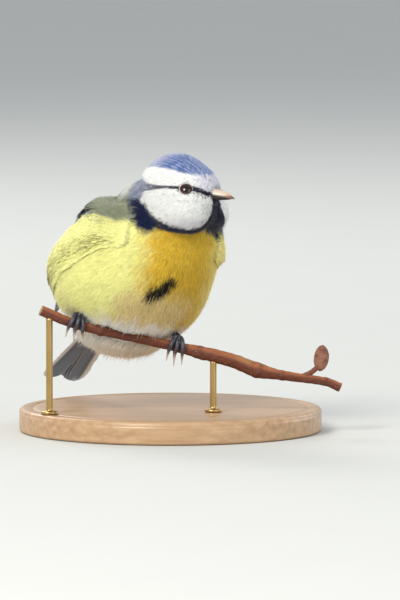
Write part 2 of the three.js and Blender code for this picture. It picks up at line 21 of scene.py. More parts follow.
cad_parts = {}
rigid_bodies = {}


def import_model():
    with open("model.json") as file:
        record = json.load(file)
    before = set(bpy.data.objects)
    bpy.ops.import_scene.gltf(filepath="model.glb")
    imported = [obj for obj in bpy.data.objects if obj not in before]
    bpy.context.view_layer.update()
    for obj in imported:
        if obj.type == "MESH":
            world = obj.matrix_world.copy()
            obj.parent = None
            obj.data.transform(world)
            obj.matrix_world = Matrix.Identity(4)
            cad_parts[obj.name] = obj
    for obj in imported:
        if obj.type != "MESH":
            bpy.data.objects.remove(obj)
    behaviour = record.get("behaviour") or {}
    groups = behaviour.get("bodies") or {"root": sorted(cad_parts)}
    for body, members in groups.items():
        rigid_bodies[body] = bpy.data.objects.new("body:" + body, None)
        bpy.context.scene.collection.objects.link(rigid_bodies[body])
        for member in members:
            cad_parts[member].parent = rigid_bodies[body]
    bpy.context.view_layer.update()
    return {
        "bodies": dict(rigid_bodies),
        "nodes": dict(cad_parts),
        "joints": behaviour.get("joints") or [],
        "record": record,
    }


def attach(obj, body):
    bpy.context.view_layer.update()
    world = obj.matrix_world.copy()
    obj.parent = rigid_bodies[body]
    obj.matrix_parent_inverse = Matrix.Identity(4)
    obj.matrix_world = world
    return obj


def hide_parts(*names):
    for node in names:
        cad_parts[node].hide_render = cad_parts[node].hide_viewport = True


LOG = logging.getLogger("blue_tit")
Array = np.ndarray
Socket = bpy.types.NodeSocket
Triple = tuple[float, float, float]
Screen = tuple[int, int, int]
# A radius's share or a colour, from two places on a surface.
Spread = Callable[[Array, Array], Array]
# A feather's points, sides and normals, from shares of its length.
Course = Callable[[Array], tuple[Array, Array, Array]]
MM = 0.001
SEED = 20
# Room between the bark and what lies against it.
GAP = 0.32
BAKE_MAP = "OFBake"
MARK = "Mark"
GRAIN = "Grain"


# Numbers and vectors


def linear(red: float, green: float, blue: float) -> Array:
    """A screen colour of 0 to 255 as linear light of 0 to 1."""
    value = np.array([red, green, blue]) / 255.0
    return np.where(value <= 0.04045, value / 12.92, ((value + 0.055) / 1.055) ** 2.4)


def unit(vectors: Array) -> Array:
    """Vectors of length 1 along the given ones."""
    return vectors / np.maximum(np.linalg.norm(vectors, axis=-1, keepdims=True), 1e-9)


def step(low: float, high: float, value: Array) -> Array:
    """A smooth step from 0 at low to 1 at high, which falls where low lies above high."""
    share = np.clip((value - low) / (high - low), 0.0, 1.0)
    return share * share * (3.0 - 2.0 * share)


def mixed(under: Array, over: Array, share: Array) -> Array:
    """Colours over other colours by a share for each point."""
    return under + (over - under) * np.asarray(share)[..., None]


def table(pairs: tuple[tuple[float, float], ...], value: Array) -> Array:
    """A value read off a named curve given as pairs of place and height."""
    places, heights = zip(*pairs)
    return np.interp(value, places, heights)


def turn(axis: str, degrees: float) -> Array:
    """A rotation matrix.

    Args:
        axis: One of x, y and z.
        degrees: The angle.

    Returns:
        Three rows of three.
    """
    c, s = math.cos(math.radians(degrees)), math.sin(math.radians(degrees))
    return np.array(
        {
            "x": [[1, 0, 0], [0, c, -s], [0, s, c]],
            "y": [[c, 0, s], [0, 1, 0], [-s, 0, c]],
            "z": [[c, -s, 0], [s, c, 0], [0, 0, 1]],
        }[axis]
    )


def ripple(points: Array, size: float, seed: int) -> Array:
    """A cheap soft noise of about -1 to 1.

    Args:
        points: Where it is read.
        size: The width of its lumps.
        seed: Makes it differ from others.

    Returns:
        The noise at each point.
    """
    count, evenness = 7, 3.2
    rng = np.random.default_rng(seed)
    waves = unit(rng.normal(size=(count, 3))) * (math.tau / size) * rng.uniform(0.6, 1.7, (count, 1))
    phases = rng.uniform(0, math.tau, count)
    return np.sin(points @ waves.T + phases).sum(-1) / evenness


@dataclass(frozen=True)
class Frame:
    """A turned frame with its own origin."""

    origin: Array
    axes: Array

    def out(self, points: Array) -> Array:
        """Points of this frame in the row's frame."""
        return points @ self.axes.T + self.origin

    def into(self, points: Array) -> Array:
        """Points of the row's frame in this frame."""
        return (points - self.origin) @ self.axes

    def turned(self, vectors: Array) -> Array:
        """Directions of this frame in the row's frame."""
        return vectors @ self.axes.T


BODY = Frame(np.array([-11.6, -8.0, 46.5]), turn("z", -64) @ turn("x", -11))
HEAD = Frame(np.array([3.5, -20.0, 73.4]), turn("z", -30) @ turn("y", 3))


@dataclass(frozen=True)
class Blend:
    """A soft blend of egg-shaped lobes: centre, half axes and dip of the long axis in degrees."""

    softness: float
    lobes: tuple[tuple[Triple, Triple, float], ...]

    def depth(self, points: Array, grow: Array | float = 0.0) -> Array:
        """How far points are inside: 0 on the surface and positive inside.

        Args:
            points: Where it is read, in the blend's frame.
            grow: Added to each half axis.

        Returns:
            One number for each point.
        """
        total = np.zeros(points.shape[:-1])
        for at, radii, dip in self.lobes:
            offset = points - np.array(at)
            c, s = math.cos(math.radians(dip)), math.sin(math.radians(dip))
            x = (offset[..., 0] * c + offset[..., 2] * s) / (radii[0] + grow)
            y = offset[..., 1] / (radii[1] + grow)
            z = (offset[..., 2] * c - offset[..., 0] * s) / (radii[2] + grow)
            total += np.exp(np.minimum(-self.softness * (np.sqrt(x * x + y * y + z * z) - 1), 60.0))
        return total - 1.0

    def normal(self, points: Array) -> Array:
        """The outward normals at points of the blend's frame."""
        h = 0.05
        slope = [self.depth(points - h * axis) - self.depth(points + h * axis) for axis in np.eye(3)]
        return unit(np.stack(slope, -1))

    def along(self, direction: Array) -> Array:
        """Where a ray from the frame's origin leaves the blend."""
        ray = unit(direction)
        inside, outside, halvings = 0.0, 60.0, 30
        for _ in range(halvings):
            middle = (inside + outside) / 2
            if self.depth(ray * middle) > 0:
                inside = middle
            else:
                outside = middle
        return ray * inside

    def lifted(self, points: Array, height: Array) -> Array:
        """Points moved out along the normal until they stand at least the given height over the blend.

        Args:
            points: Points of the blend's frame.
            height: One height for each point.

        Returns:
            The moved points.
        """
        points = points.copy()
        tries, stride = 60, 0.25
        for _ in range(tries):
            low = self.depth(points, height) > 0
            if not low.any():
                break
            points[low] += stride * self.normal(points[low])
        return points


TORSO_BLEND = Blend(
    7.0,
    (
        ((0, 0, -3), (20.5, 21, 17), 0),
        ((8, 3, 8.5), (15.5, 18, 16), 0),
        ((-6, -1, 6.5), (13.5, 14.5, 13), 0),
        ((1, -2.5, 13.5), (12, 11.5, 11.5), 0),
        ((1, -12, -3), (14, 11.5, 11), 0),
        ((1, 10.6, 0), (14, 10.3, 11), 0),
        ((7.6, -2.4, 22), (9.5, 8.5, 9), 0),
        ((-15, 0.5, -6), (13, 11.5, 9), 32),
        ((-5, 1, -15.5), (12, 13, 7.5), 0),
        ((11.5, 6.8, 15.5), (11.5, 12.6, 11.5), 0),
    ),
)
HEAD_BLEND = Blend(
    8.0,
    (
        ((-1.8, 0, 2.4), (10.4, 9.6, 9.6), 0),
        ((4.4, 0, 1.4), (7.6, 7, 7.2), 0),
        ((2.4, 5.2, -5.2), (10.2, 8, 7.4), 0),
        ((2.2, -4.6, -4.6), (10, 7.9, 7.4), 0),
        ((-5.5, 0, -1.5), (7, 8.6, 9), 0),
    ),
)


@dataclass(frozen=True)
class SmoothLine:
    """A smooth curve through points, with a parameter from 0 to 1 that passes them at equal steps."""

    knots: Array

    def at(self, share: Array) -> Array:
        """Points of the curve at the given shares."""
        share = np.atleast_1d(np.clip(share, 0.0, 1.0))
        last = len(self.knots) - 1
        place = share * last
        index = np.minimum(place.astype(int), last - 1)
        weight = (place - index)[:, None]
        ends = np.vstack([2 * self.knots[0] - self.knots[1], self.knots, 2 * self.knots[-1] - self.knots[-2]])
        p0, p1, p2, p3 = (ends[index + k] for k in range(4))
        gap = [np.sqrt(np.linalg.norm(b - a, axis=1))[:, None] for a, b in ((p0, p1), (p1, p2), (p2, p3))]
        into = (p1 - p0) / gap[0] - (p2 - p0) / (gap[0] + gap[1]) + (p2 - p1) / gap[1]
        away = (p2 - p1) / gap[1] - (p3 - p1) / (gap[1] + gap[2]) + (p3 - p2) / gap[2]
        into, away = into * gap[1], away * gap[1]
        cubic = 2 * p1 - 2 * p2 + into + away
        square = -3 * p1 + 3 * p2 - 2 * into - away
        return p1 + into * weight + square * weight**2 + cubic * weight**3

    def tangent(self, share: Array) -> Array:
        """Unit tangents at the given shares."""
        share, nudge = np.atleast_1d(share), 1e-4
        return unit(self.at(np.minimum(share + nudge, 1)) - self.at(np.maximum(share - nudge, 0)))


# Meshes


@dataclass
class Shape:
    """A mesh in millimetres, with a mark colour, a grain place, a normal and a bake place for each point."""

    points: Array
    faces: Array
    marks: Array | None = None
    grain: Array | None = None
    normals: Array | None = None
    bake: Array | None = None

    @staticmethod
    def joined(shapes: list["Shape"]) -> "Shape":
        """One shape of several, which must carry the same kinds of values."""
        start = np.cumsum([0] + [len(s.points) for s in shapes[:-1]])
        values = {"faces": np.concatenate([s.faces + k for s, k in zip(shapes, start)])}
        for name in ("points", "marks", "grain", "normals", "bake"):
            if getattr(shapes[0], name) is not None:
                values[name] = np.concatenate([getattr(s, name) for s in shapes])
        return Shape(**values)

    def coloured(self, colour: Array) -> "Shape":
        """The same shape with a mark colour for all points, or for each."""
        self.marks = np.broadcast_to(np.asarray(colour, float), (len(self.points), 3)).copy()
        return self


def triangles_of(quads: Array) -> Array:
    """Two triangles for each quad."""
    return np.concatenate([quads[:, [0, 1, 2]], quads[:, [0, 2, 3]]])


def sheet_of(grid: Array, closed: bool = False) -> Shape:
    """A surface over a grid of points.

    Args:
        grid: Rows of points.
        closed: Whether each row closes on itself.

    Returns:
        The surface, facing the side where the rows run to the left.
    """
    rows, columns = grid.shape[:2]
    i, j = np.meshgrid(np.arange(rows - 1), np.arange(columns if closed else columns - 1), indexing="ij")
    k = (j + 1) % columns
    quads = np.stack([i * columns + j, i * columns + k, (i + 1) * columns + k, (i + 1) * columns + j], -1)
    return Shape(grid.reshape(-1, 3), triangles_of(quads.reshape(-1, 4)))


def capped(body: Shape, ends: tuple[Array, Array], columns: int) -> Shape:
    """Closes a tube with a fan to a point at each end.

    Args:
        body: The open tube.
        ends: The middles of the first and the last fan.
        columns: How many points each of its rows has.

    Returns:
        The closed body.
    """
    first = len(body.points)
    last = first - columns
    j = np.arange(columns)
    k = (j + 1) % columns
    start = np.stack([np.full(columns, first), k, j], -1)
    finish = np.stack([np.full(columns, first + 1), last + j, last + k], -1)
    return Shape(np.vstack([body.points, *ends]), np.concatenate([body.faces, start, finish]))


def tube_of(line: Array, radii: Array, sides: int, bulge: Spread | None = None) -> Shape:
    """A closed round tube along points.

    Args:
        line: Points of the middle line.
        radii: A radius at each point.
        sides: How many sides.
        bulge: The share of the radius at an angle and a row number, if it isn't round.

    Returns:
        The tube, with a fan at each end.
    """
    along = unit(np.gradient(line, axis=0))
    side = unit(np.cross(np.array([0.31, 0.9, 0.27]), along))
    up = np.cross(along, side)
    angle = np.linspace(0, math.tau, sides, endpoint=False)
    reach = radii[:, None] * np.ones(sides)
    if bulge is not None:
        reach = reach * bulge(angle[None, :], np.arange(len(line))[:, None])
    grid = line[:, None] + reach[..., None] * (
        side[:, None] * np.cos(angle)[None, :, None] + up[:, None] * np.sin(angle)[None, :, None]
    )
    return capped(sheet_of(grid, closed=True), (line[0], line[-1]), sides)


def lathe_of(profile: Array, sides: int) -> Shape:
    """A closed body turned about the upright.

    Args:
        profile: Pairs of radius and height, from the bottom's middle to the top's.
        sides: How many sides.

    Returns:
        The turned body.
    """
    angle = np.linspace(0, math.tau, sides, endpoint=False)
    grid = np.stack(
        [
            profile[:, :1] * np.cos(angle),
            profile[:, :1] * np.sin(angle),
            np.repeat(profile[:, 1:], sides, axis=1),
        ],
        -1,
    )
    return sheet_of(grid, closed=True)


def ball_of(radius: float, rows: int, sides: int) -> Shape:
    """A ball round the origin, turned about the upright."""
    polar = np.linspace(0, math.pi, rows)
    return lathe_of(np.stack([np.sin(polar), -np.cos(polar)], 1) * radius, sides)


def points_of(mesh: bpy.types.Mesh) -> Array:
    """A mesh's points in millimetres."""
    co = np.empty(len(mesh.vertices) * 3, np.float32)
    mesh.vertices.foreach_get("co", co)
    return co.reshape(-1, 3).astype(float) / MM


def point_normals(points: Array, faces: Array) -> Array:
    """Normals of a mesh at its points, weighed by area."""
    corners = points[faces[:, :3]]
    face = np.cross(corners[:, 1] - corners[:, 0], corners[:, 2] - corners[:, 0])
    total = np.zeros_like(points)
    for k in range(3):
        for axis in range(3):
            total[:, axis] += np.bincount(faces[:, k], face[:, axis], len(points))
    return unit(total)


def mesh_of(name: str, shape: Shape) -> bpy.types.Mesh:
    """A mesh in metres from a shape, with its colours, grain places, bake map and normals.

    Args:
        name: The mesh's name.
        shape: The shape in millimetres.

    Returns:
        The mesh.
    """
    mesh = bpy.data.meshes.new(name)
    faces = shape.faces.astype(np.int32)
    mesh.vertices.add(len(shape.points))
    mesh.vertices.foreach_set("co", (shape.points * MM).astype(np.float32).ravel())
    mesh.loops.add(faces.size)
    mesh.loops.foreach_set("vertex_index", faces.ravel())
    mesh.polygons.add(len(faces))
    mesh.polygons.foreach_set("loop_start", np.arange(0, faces.size, faces.shape[1], dtype=np.int32))
    mesh.polygons.foreach_set("use_smooth", np.ones(len(faces), bool))
    mesh.update(calc_edges=True)
    if shape.marks is not None:
        colour = mesh.attributes.new(MARK, "FLOAT_COLOR", "POINT")
        rgba = np.ones((len(shape.points), 4), np.float32)
        rgba[:, :3] = np.clip(shape.marks, 0.0, 1.0)
        colour.data.foreach_set("color", rgba.ravel())
    if shape.grain is not None:
        grain = mesh.attributes.new(GRAIN, "FLOAT_VECTOR", "POINT")
        grain.data.foreach_set("vector", shape.grain.astype(np.float32).ravel())
    if shape.bake is not None:
        layer = mesh.uv_layers.new(name=BAKE_MAP)
        bake = shape.bake[faces.ravel()] if len(shape.bake) == len(shape.points) else shape.bake
        layer.data.foreach_set("uv", bake.astype(np.float32).ravel())
    if shape.normals is not None:
        mesh.normals_split_custom_set_from_vertices(shape.normals.astype(np.float32))
    return mesh


def piece(
    name: str,
    shape: Shape,
    finish: "Finish",
    replaces: tuple[str, ...] = (),
) -> bpy.types.Object:
    """Makes a shape a piece of the bird, which rides on the one body.

    Args:
        name: The piece's name.
        shape: Its shape.
        finish: Its finish.
        replaces: The solids that it stands for.

    Returns:
        The new object.
    """
    made = bpy.data.objects.new(name, mesh_of(name, shape))
    bpy.context.scene.collection.objects.link(made)
    made.data.materials.append(finish.material())
    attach(made, "root")
    if replaces:
        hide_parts(*replaces)
    LOG.info("%s: %d triangles", name, len(shape.faces) * (shape.faces.shape[1] - 2))
    return made


class Slot(Enum):
    """The record's material slots."""

    BODY = "body_feathers"
    COLLAR = "collar_feathers"
    HEAD = "head_feathers"
    WING = "wing_feathers"
    TAIL = "tail_feathers"
    HORN = "horn"
    EYE = "eye"
    LEG = "scuted_skin"
    BARK = "bark"
    BASE = "base_wood"
    ROD = "rod_metal"


# Finishes


class Graph:
    """A material's node tree, with short ways to add and join nodes."""

    def __init__(self, name: str) -> None:
        """Starts a material with one shader.

        Args:
            name: The material's name.
        """
        self.material = bpy.data.materials.new(name)
        self.material.use_nodes = True
        self.tree = self.material.node_tree
        self.tree.nodes.clear()
        output = self.tree.nodes.new("ShaderNodeOutputMaterial")
        self.shader = self.tree.nodes.new("ShaderNodeBsdfPrincipled")
        self.tree.links.new(self.shader.outputs["BSDF"], output.inputs["Surface"])

    def settle(self, **values: float | tuple[float, ...]) -> None:
        """Sets sockets of the shader that are the same all over, with spaces written as underscores."""
        sockets = {socket.name.lower(): socket for socket in self.shader.inputs}
        for name, value in values.items():
            sockets[name.replace("_", " ")].default_value = value

    def node(self, kind: str, **settings: object) -> bpy.types.Node:
        """A new node with its settings."""
        made = self.tree.nodes.new(kind)
        for name, value in settings.items():
            setattr(made, name, value)
        return made

    def join(self, source: Socket, target: Socket) -> None:
        """Joins an output to an input."""
        self.tree.links.new(source, target)

    def attribute(self, name: str, output: str = "Color") -> Socket:
        """The output of a node that reads a named attribute."""
        return self.node("ShaderNodeAttribute", attribute_name=name).outputs[output]

    def place(self, stretch: Triple = (1, 1, 1)) -> Socket:
        """Places in millimetres in the object's own frame, stretched along its axes."""
        mapping = self.node("ShaderNodeMapping")
        mapping.inputs["Scale"].default_value = tuple(1000.0 * s for s in stretch)
        self.join(self.node("ShaderNodeTexCoord").outputs["Object"], mapping.inputs["Vector"])
        return mapping.outputs["Vector"]

    def noise(
        self, place: Socket, scale: float, detail: float = 3.0, distortion: float = 0.0
    ) -> Socket:
        """A noise of 0 to 1.

        Args:
            place: Where it is read.
            scale: How fine it is.
            detail: How many finer layers it has.
            distortion: How much it twists.

        Returns:
            Its output.
        """
        made = self.node("ShaderNodeTexNoise")
        made.inputs["Scale"].default_value = scale
        made.inputs["Detail"].default_value = detail
        made.inputs["Distortion"].default_value = distortion
        self.join(place, made.inputs["Vector"])
        return made.outputs["Fac"]

    def ramp(self, source: Socket, low: float, high: float) -> Socket:
        """Spreads 0 to 1 over low to high."""
        made = self.node("ShaderNodeMapRange")
        made.inputs["To Min"].default_value = low
        made.inputs["To Max"].default_value = high
        self.join(source, made.inputs["Value"])
        return made.outputs["Result"]

    def blend(
        self,
        under: Socket | tuple[float, ...],
        over: Socket | tuple[float, ...],
        share: Socket | float,
        way: str = "MIX",
    ) -> Socket:
        """Mixes two colours.

        Args:
            under: The first colour.
            over: The second colour.
            share: How much of the second.
            way: How they mix.

        Returns:
            The mixed colour.
        """
        made = self.node("ShaderNodeMix", data_type="RGBA", blend_type=way)
        for value, target in ((share, made.inputs[0]), (under, made.inputs[6]), (over, made.inputs[7])):
            if isinstance(value, Socket):
                self.join(value, target)
            elif isinstance(value, float):
                target.default_value = value
            else:
                target.default_value = (*value[:3], 1.0)
        return made.outputs[2]

    def scaled(self, colour: Socket, factor: Socket) -> Socket:
        """A colour times a factor for each point."""
        grey = self.node("ShaderNodeCombineColor")
        for name in ("Red", "Green", "Blue"):
            self.join(factor, grey.inputs[name])
        return self.blend(colour, grey.outputs["Color"], 1.0, "MULTIPLY")

    def colour(self, source: Socket) -> None:
        """Gives the shader its colour."""
        self.join(source, self.shader.inputs["Base Color"])

    def marks(self, source: Socket, low: float, high: float) -> None:
        """Gives the shader the marks' colours, times low to high where the source is 0 to 1."""
        self.colour(self.scaled(self.attribute(MARK), self.ramp(source, low, high)))

    def rough(self, source: Socket, low: float, high: float) -> None:
        """Gives the shader a roughness of low to high where the source is 0 to 1."""
        self.join(self.ramp(source, low, high), self.shader.inputs["Roughness"])

    def bump(self, source: Socket, height: float, strength: float = 1.0) -> None:
        """Raises the surface by a height in millimetres where the source is 1."""
        made = self.node("ShaderNodeBump")
        made.inputs["Strength"].default_value = strength
        made.inputs["Distance"].default_value = height * MM
        self.join(source, made.inputs["Height"])
        self.join(made.outputs["Normal"], self.shader.inputs["Normal"])


@dataclass(frozen=True)
class Finish:
    """A surface finish. Each kind makes its own nodes once and is then shared."""

    name: str

    def material(self) -> bpy.types.Material:
        """The finish's material, made at first use."""
        found = bpy.data.materials.get(self.name)
        if found is not None:
            return found
        graph = Graph(self.name)
        self.dress(graph)
        return graph.material

    def dress(self, graph: Graph) -> None:
        """Adds the finish's nodes.

        Args:
            graph: The material's tree.
        """
        raise NotImplementedError


@dataclass(frozen=True)
class DownFinish(Finish):
    """Soft body plumage, coloured by its marks."""

    roughness: float = 0.8
    variation: float = 0.05
    sheen: float = 0.14

    def dress(self, graph: Graph) -> None:
        """Adds the finish's nodes."""
        fine = graph.noise(graph.place(), 1.6, 4.0)
        graph.marks(fine, 1.0 - self.variation, 1.0 + self.variation)
        graph.rough(fine, self.roughness - 0.06, self.roughness + 0.1)
        graph.settle(sheen_weight=self.sheen, sheen_roughness=0.5, specular_ior_level=0.18)


@dataclass(frozen=True)
class SkinFinish(Finish):
    """The down under the feathers, a soft fibrous ground in the same marks."""

    def dress(self, graph: Graph) -> None:
        """Adds the finish's nodes."""
        fibre = graph.noise(graph.place((1.0, 1.0, 0.35)), 2.4, 6.0, 0.4)
        graph.marks(fibre, 0.55, 0.95)
        graph.rough(fibre, 0.8, 0.98)
        graph.bump(fibre, 0.25)
        graph.settle(specular_ior_level=0.1)


@dataclass(frozen=True)
class VaneFinish(Finish):
    """A flight or tail feather: barbs slant off the shaft, seen as fine lines in colour and height."""

    barbs_per_mm: float = 3.2
    slant: float = 0.9
    roughness: float = 0.5
    depth: float = 0.035

    def dress(self, graph: Graph) -> None:
        """Adds the finish's nodes."""
        parts = graph.node("ShaderNodeSeparateXYZ")
        graph.join(graph.attribute(GRAIN, "Vector"), parts.inputs[0])
        across = graph.node("ShaderNodeMath", operation="ABSOLUTE")
        graph.join(parts.outputs["X"], across.inputs[0])
        slanted = graph.node("ShaderNodeMath", operation="MULTIPLY_ADD")
        graph.join(across.outputs[0], slanted.inputs[0])
        slanted.inputs[1].default_value = -self.slant
        graph.join(parts.outputs["Y"], slanted.inputs[2])
        place = graph.node("ShaderNodeCombineXYZ")
        graph.join(slanted.outputs[0], place.inputs["X"])
        graph.join(parts.outputs["Z"], place.inputs["Y"])
        wave = graph.node("ShaderNodeTexWave", wave_type="BANDS", bands_direction="X")
        wave.inputs["Scale"].default_value = self.barbs_per_mm / 3.1
        wave.inputs["Distortion"].default_value = 0.6
        wave.inputs["Detail"].default_value = 1.0
        graph.join(place.outputs[0], wave.inputs["Vector"])
        fine = graph.noise(graph.attribute(GRAIN, "Vector"), 1.2, 3.0)
        both = graph.node("ShaderNodeMath", operation="MULTIPLY_ADD")
        graph.join(wave.outputs["Fac"], both.inputs[0])
        both.inputs[1].default_value = 0.6
        graph.join(fine, both.inputs[2])
        graph.marks(both.outputs[0], 0.84, 1.08)
        graph.rough(fine, self.roughness - 0.08, self.roughness + 0.14)
        graph.bump(wave.outputs["Fac"], self.depth, 0.7)
        graph.settle(sheen_weight=0.1, specular_ior_level=0.3)


@dataclass(frozen=True)
class HornFinish(Finish):
    """Bill and claws: smooth horn with faint growth lines."""

    roughness: float = 0.4
    coat: float = 0.12

    def dress(self, graph: Graph) -> None:
        """Adds the finish's nodes."""
        growth = graph.noise(graph.place((1.0, 1.0, 2.2)), 1.1, 5.0, 0.3)
        graph.marks(growth, 0.84, 1.14)
        graph.rough(growth, self.roughness - 0.08, self.roughness + 0.14)
        graph.bump(growth, 0.03)
        graph.settle(coat_weight=self.coat, coat_roughness=0.2)


@dataclass(frozen=True)
class EyeFinish(Finish):
    """The wet eyeball, with fine rays in the iris."""

    def dress(self, graph: Graph) -> None:
        """Adds the finish's nodes."""
        rays = graph.noise(graph.place(), 3.0, 4.0, 0.6)
        graph.marks(rays, 0.7, 1.3)
        graph.settle(roughness=0.05, specular_ior_level=0.35, coat_weight=0.45, coat_roughness=0.02)


@dataclass(frozen=True)
class ScuteFinish(Finish):
    """Toes and shanks: small horny scutes with a dull gloss."""

    def dress(self, graph: Graph) -> None:
        """Adds the finish's nodes."""
        cells = graph.node("ShaderNodeTexVoronoi", feature="DISTANCE_TO_EDGE")
        cells.inputs["Scale"].default_value = 2.6
        graph.join(graph.place(), cells.inputs["Vector"])
        fine = graph.noise(graph.place(), 2.0, 4.0)
        graph.marks(fine, 0.72, 1.25)
        graph.rough(fine, 0.3, 0.52)
        graph.bump(cells.outputs["Distance"], 0.12, 0.6)
        graph.settle(coat_weight=0.15, coat_roughness=0.3)


@dataclass(frozen=True)
class BarkFinish(Finish):
    """Thin reddish bark with long cracks and pale specks, blended with marks that carry a painted highlight
    along the top.
    """

    dark: Screen = (64, 30, 20)
    warm: Screen = (126, 66, 40)
    speck: Screen = (196, 164, 128)

    def dress(self, graph: Graph) -> None:
        """Adds the finish's nodes."""
        dark, warm, pale = (tuple(linear(*tone)) for tone in (self.dark, self.warm, self.speck))
        long_grain = graph.noise(graph.place((0.28, 1.0, 1.0)), 1.1, 7.0, 0.5)
        blotch = graph.noise(graph.place(), 0.22, 3.0)
        speck = graph.noise(graph.place(), 1.9, 2.0)
        warm = graph.blend(dark, warm, graph.ramp(long_grain, -0.35, 1.25))
        marked = graph.blend(warm, graph.attribute(MARK), graph.ramp(blotch, 0.25, 0.75))
        gate = graph.node("ShaderNodeMapRange", interpolation_type="SMOOTHSTEP")
        gate.inputs["From Min"].default_value = 0.68
        gate.inputs["From Max"].default_value = 0.76
        gate.inputs["To Max"].default_value = 0.6
        graph.join(speck, gate.inputs["Value"])
        graph.colour(graph.blend(marked, pale, gate.outputs["Result"]))
        graph.rough(long_grain, 0.55, 0.85)
        graph.bump(long_grain, 0.3)


@dataclass(frozen=True)
class WoodFinish(Finish):
    """Waxed beech: straight grain, small flecks and a soft shine."""

    light: Screen = (206, 172, 132)
    dark: Screen = (158, 118, 82)

    def dress(self, graph: Graph) -> None:
        """Adds the finish's nodes."""
        grain = graph.noise(graph.place((0.05, 1.0, 1.0)), 0.55, 6.0, 0.25)
        fleck = graph.noise(graph.place((0.35, 2.2, 2.2)), 1.3, 2.0)
        dark, light = (tuple(linear(*tone)) for tone in (self.dark, self.light))
        base = graph.blend(dark, light, graph.ramp(grain, -0.2, 1.2))
        graph.colour(graph.scaled(base, graph.ramp(fleck, 0.86, 1.1)))
        graph.rough(fleck, 0.32, 0.5)
        graph.bump(fleck, 0.03)
        graph.settle(coat_weight=0.2, coat_roughness=0.25)


@dataclass(frozen=True)
class BrassFinish(Finish):
    """Brushed brass with a light patina."""

    tone: Screen = (196, 164, 104)

    def dress(self, graph: Graph) -> None:
        """Adds the finish's nodes."""
        brushed = graph.noise(graph.place((6.0, 6.0, 0.3)), 1.4, 3.0)
        patina = graph.noise(graph.place(), 0.16, 3.0)
        tone = linear(*self.tone)
        graph.colour(graph.blend(tuple(tone * 0.72), tuple(tone * 1.1), patina))
        graph.rough(brushed, 0.22, 0.42)
        graph.settle(metallic=1.0)


@dataclass(frozen=True)
class FloorFinish(Finish):
    """A plain pale studio floor."""

    tone: Screen = (206, 206, 202)

    def dress(self, graph: Graph) -> None:
        """Adds the finish's nodes."""
        soft = graph.noise(graph.place(), 0.02, 2.0)
        tone = linear(*self.tone)
        graph.colour(graph.blend(tuple(tone * 0.97), tuple(tone), soft))
        graph.settle(roughness=0.9, specular_ior_level=0.1)


# Plumage pattern


class Tint(Enum):
    """Named screen colours."""

    @property
    def light(self) -> Array:
        """The colour as linear light."""
        return linear(*self.value)


class Hue(Tint):
    """The plumage's colours."""

    AZURE = (84, 108, 166)
    AZURE_PALE = (190, 202, 228)
    WHITE = (250, 250, 246)
    LILAC = (210, 208, 220)
    NAVY = (16, 26, 62)
    SMOKE = (62, 62, 74)
    INK = (22, 24, 42)
    NAPE = (158, 164, 188)
    MANTLE = (132, 136, 92)
    MANTLE_GREY = (138, 144, 132)
    GOLD = (226, 184, 22)
    # A painted highlight: the pale lime of the sunlit flanks.
    SUNLIT_LIME = (252, 251, 160)
    OLIVE = (170, 160, 76)
    BUFF = (232, 210, 150)
    VENT = (254, 252, 244)
    BELLY_STRIPE = (24, 20, 14)


class Web(Tint):
    """The colours of flight and tail feathers."""

    SLATE = (58, 68, 88)
    SLATE_END = (92, 98, 108)
    PRIMARY_EDGE = (176, 192, 212)
    BLUE = (78, 116, 178)
    BLUE_PALE = (128, 160, 206)
    SECONDARY_END = (150, 164, 176)
    TERTIAL = (70, 88, 116)
    TERTIAL_EDGE = (98, 130, 170)
    WHITE = (240, 240, 236)
    PRIMARY_COVERT = (44, 60, 104)
    PRIMARY_COVERT_EDGE = (60, 88, 150)
    GREATER_COVERT = (62, 92, 150)
    MEDIAN_COVERT = (74, 106, 168)
    MEDIAN_COVERT_END = (110, 142, 196)
    LESSER_COVERT = (82, 116, 178)
    LESSER_COVERT_END = (122, 150, 196)
    WRIST = (88, 118, 170)
    WRIST_END = (122, 146, 186)
    TAIL = (92, 112, 142)
    TAIL_EDGE = (122, 150, 192)
    TAIL_OUTER_EDGE = (222, 226, 230)
    TAIL_END = (176, 186, 196)
    SHAFT = (46, 44, 52)
    FRAY = (214, 216, 214)


class Tone(Tint):
    """The colours of eyes, bill, feet and twig."""

    PUPIL = (6, 5, 7)
    IRIS = (50, 25, 17)
    IRIS_WARM = (86, 44, 26)
    EYE_RIM = (16, 12, 14)
    LID = (30, 25, 26)
    LID_BEAD = (214, 208, 200)
    HORN = (202, 186, 166)
    HORN_RIDGE = (104, 98, 100)
    # Painted light shining through the bill's tip.
    HORN_TIP_BACKLIT = (216, 146, 88)
    HORN_ROOT = (74, 68, 74)
    HORN_EDGE = (60, 46, 40)
    LOWER_HORN = (34, 29, 31)
    # Painted light shining through the lower half's tip.
    LOWER_HORN_TIP_BACKLIT = (134, 92, 64)
    BRISTLE = (150, 152, 170)
    BRISTLE_PALE = (210, 210, 218)
    BARK_SHADE = (98, 46, 28)
    # A painted highlight along the bark's top.
    BARK_LIT_TOP = (200, 124, 72)
    BARK_SCAR = (196, 164, 100)
    BARK_RING = (44, 26, 22)
    CUT_WOOD = (206, 178, 136)
    SHOOT = (126, 74, 52)
    BUD_HEART = (150, 98, 78)
    BUD_SCALE = (170, 122, 100)
    BUD_SCALE_EDGE = (112, 62, 48)
    TOE = (36, 38, 50)
    TOE_PALE = (66, 68, 80)
    TOE_GROOVE = (18, 19, 26)
    SHANK_PALE = (64, 66, 78)
    CLAW = (60, 55, 56)
    CLAW_TIP = (186, 172, 154)


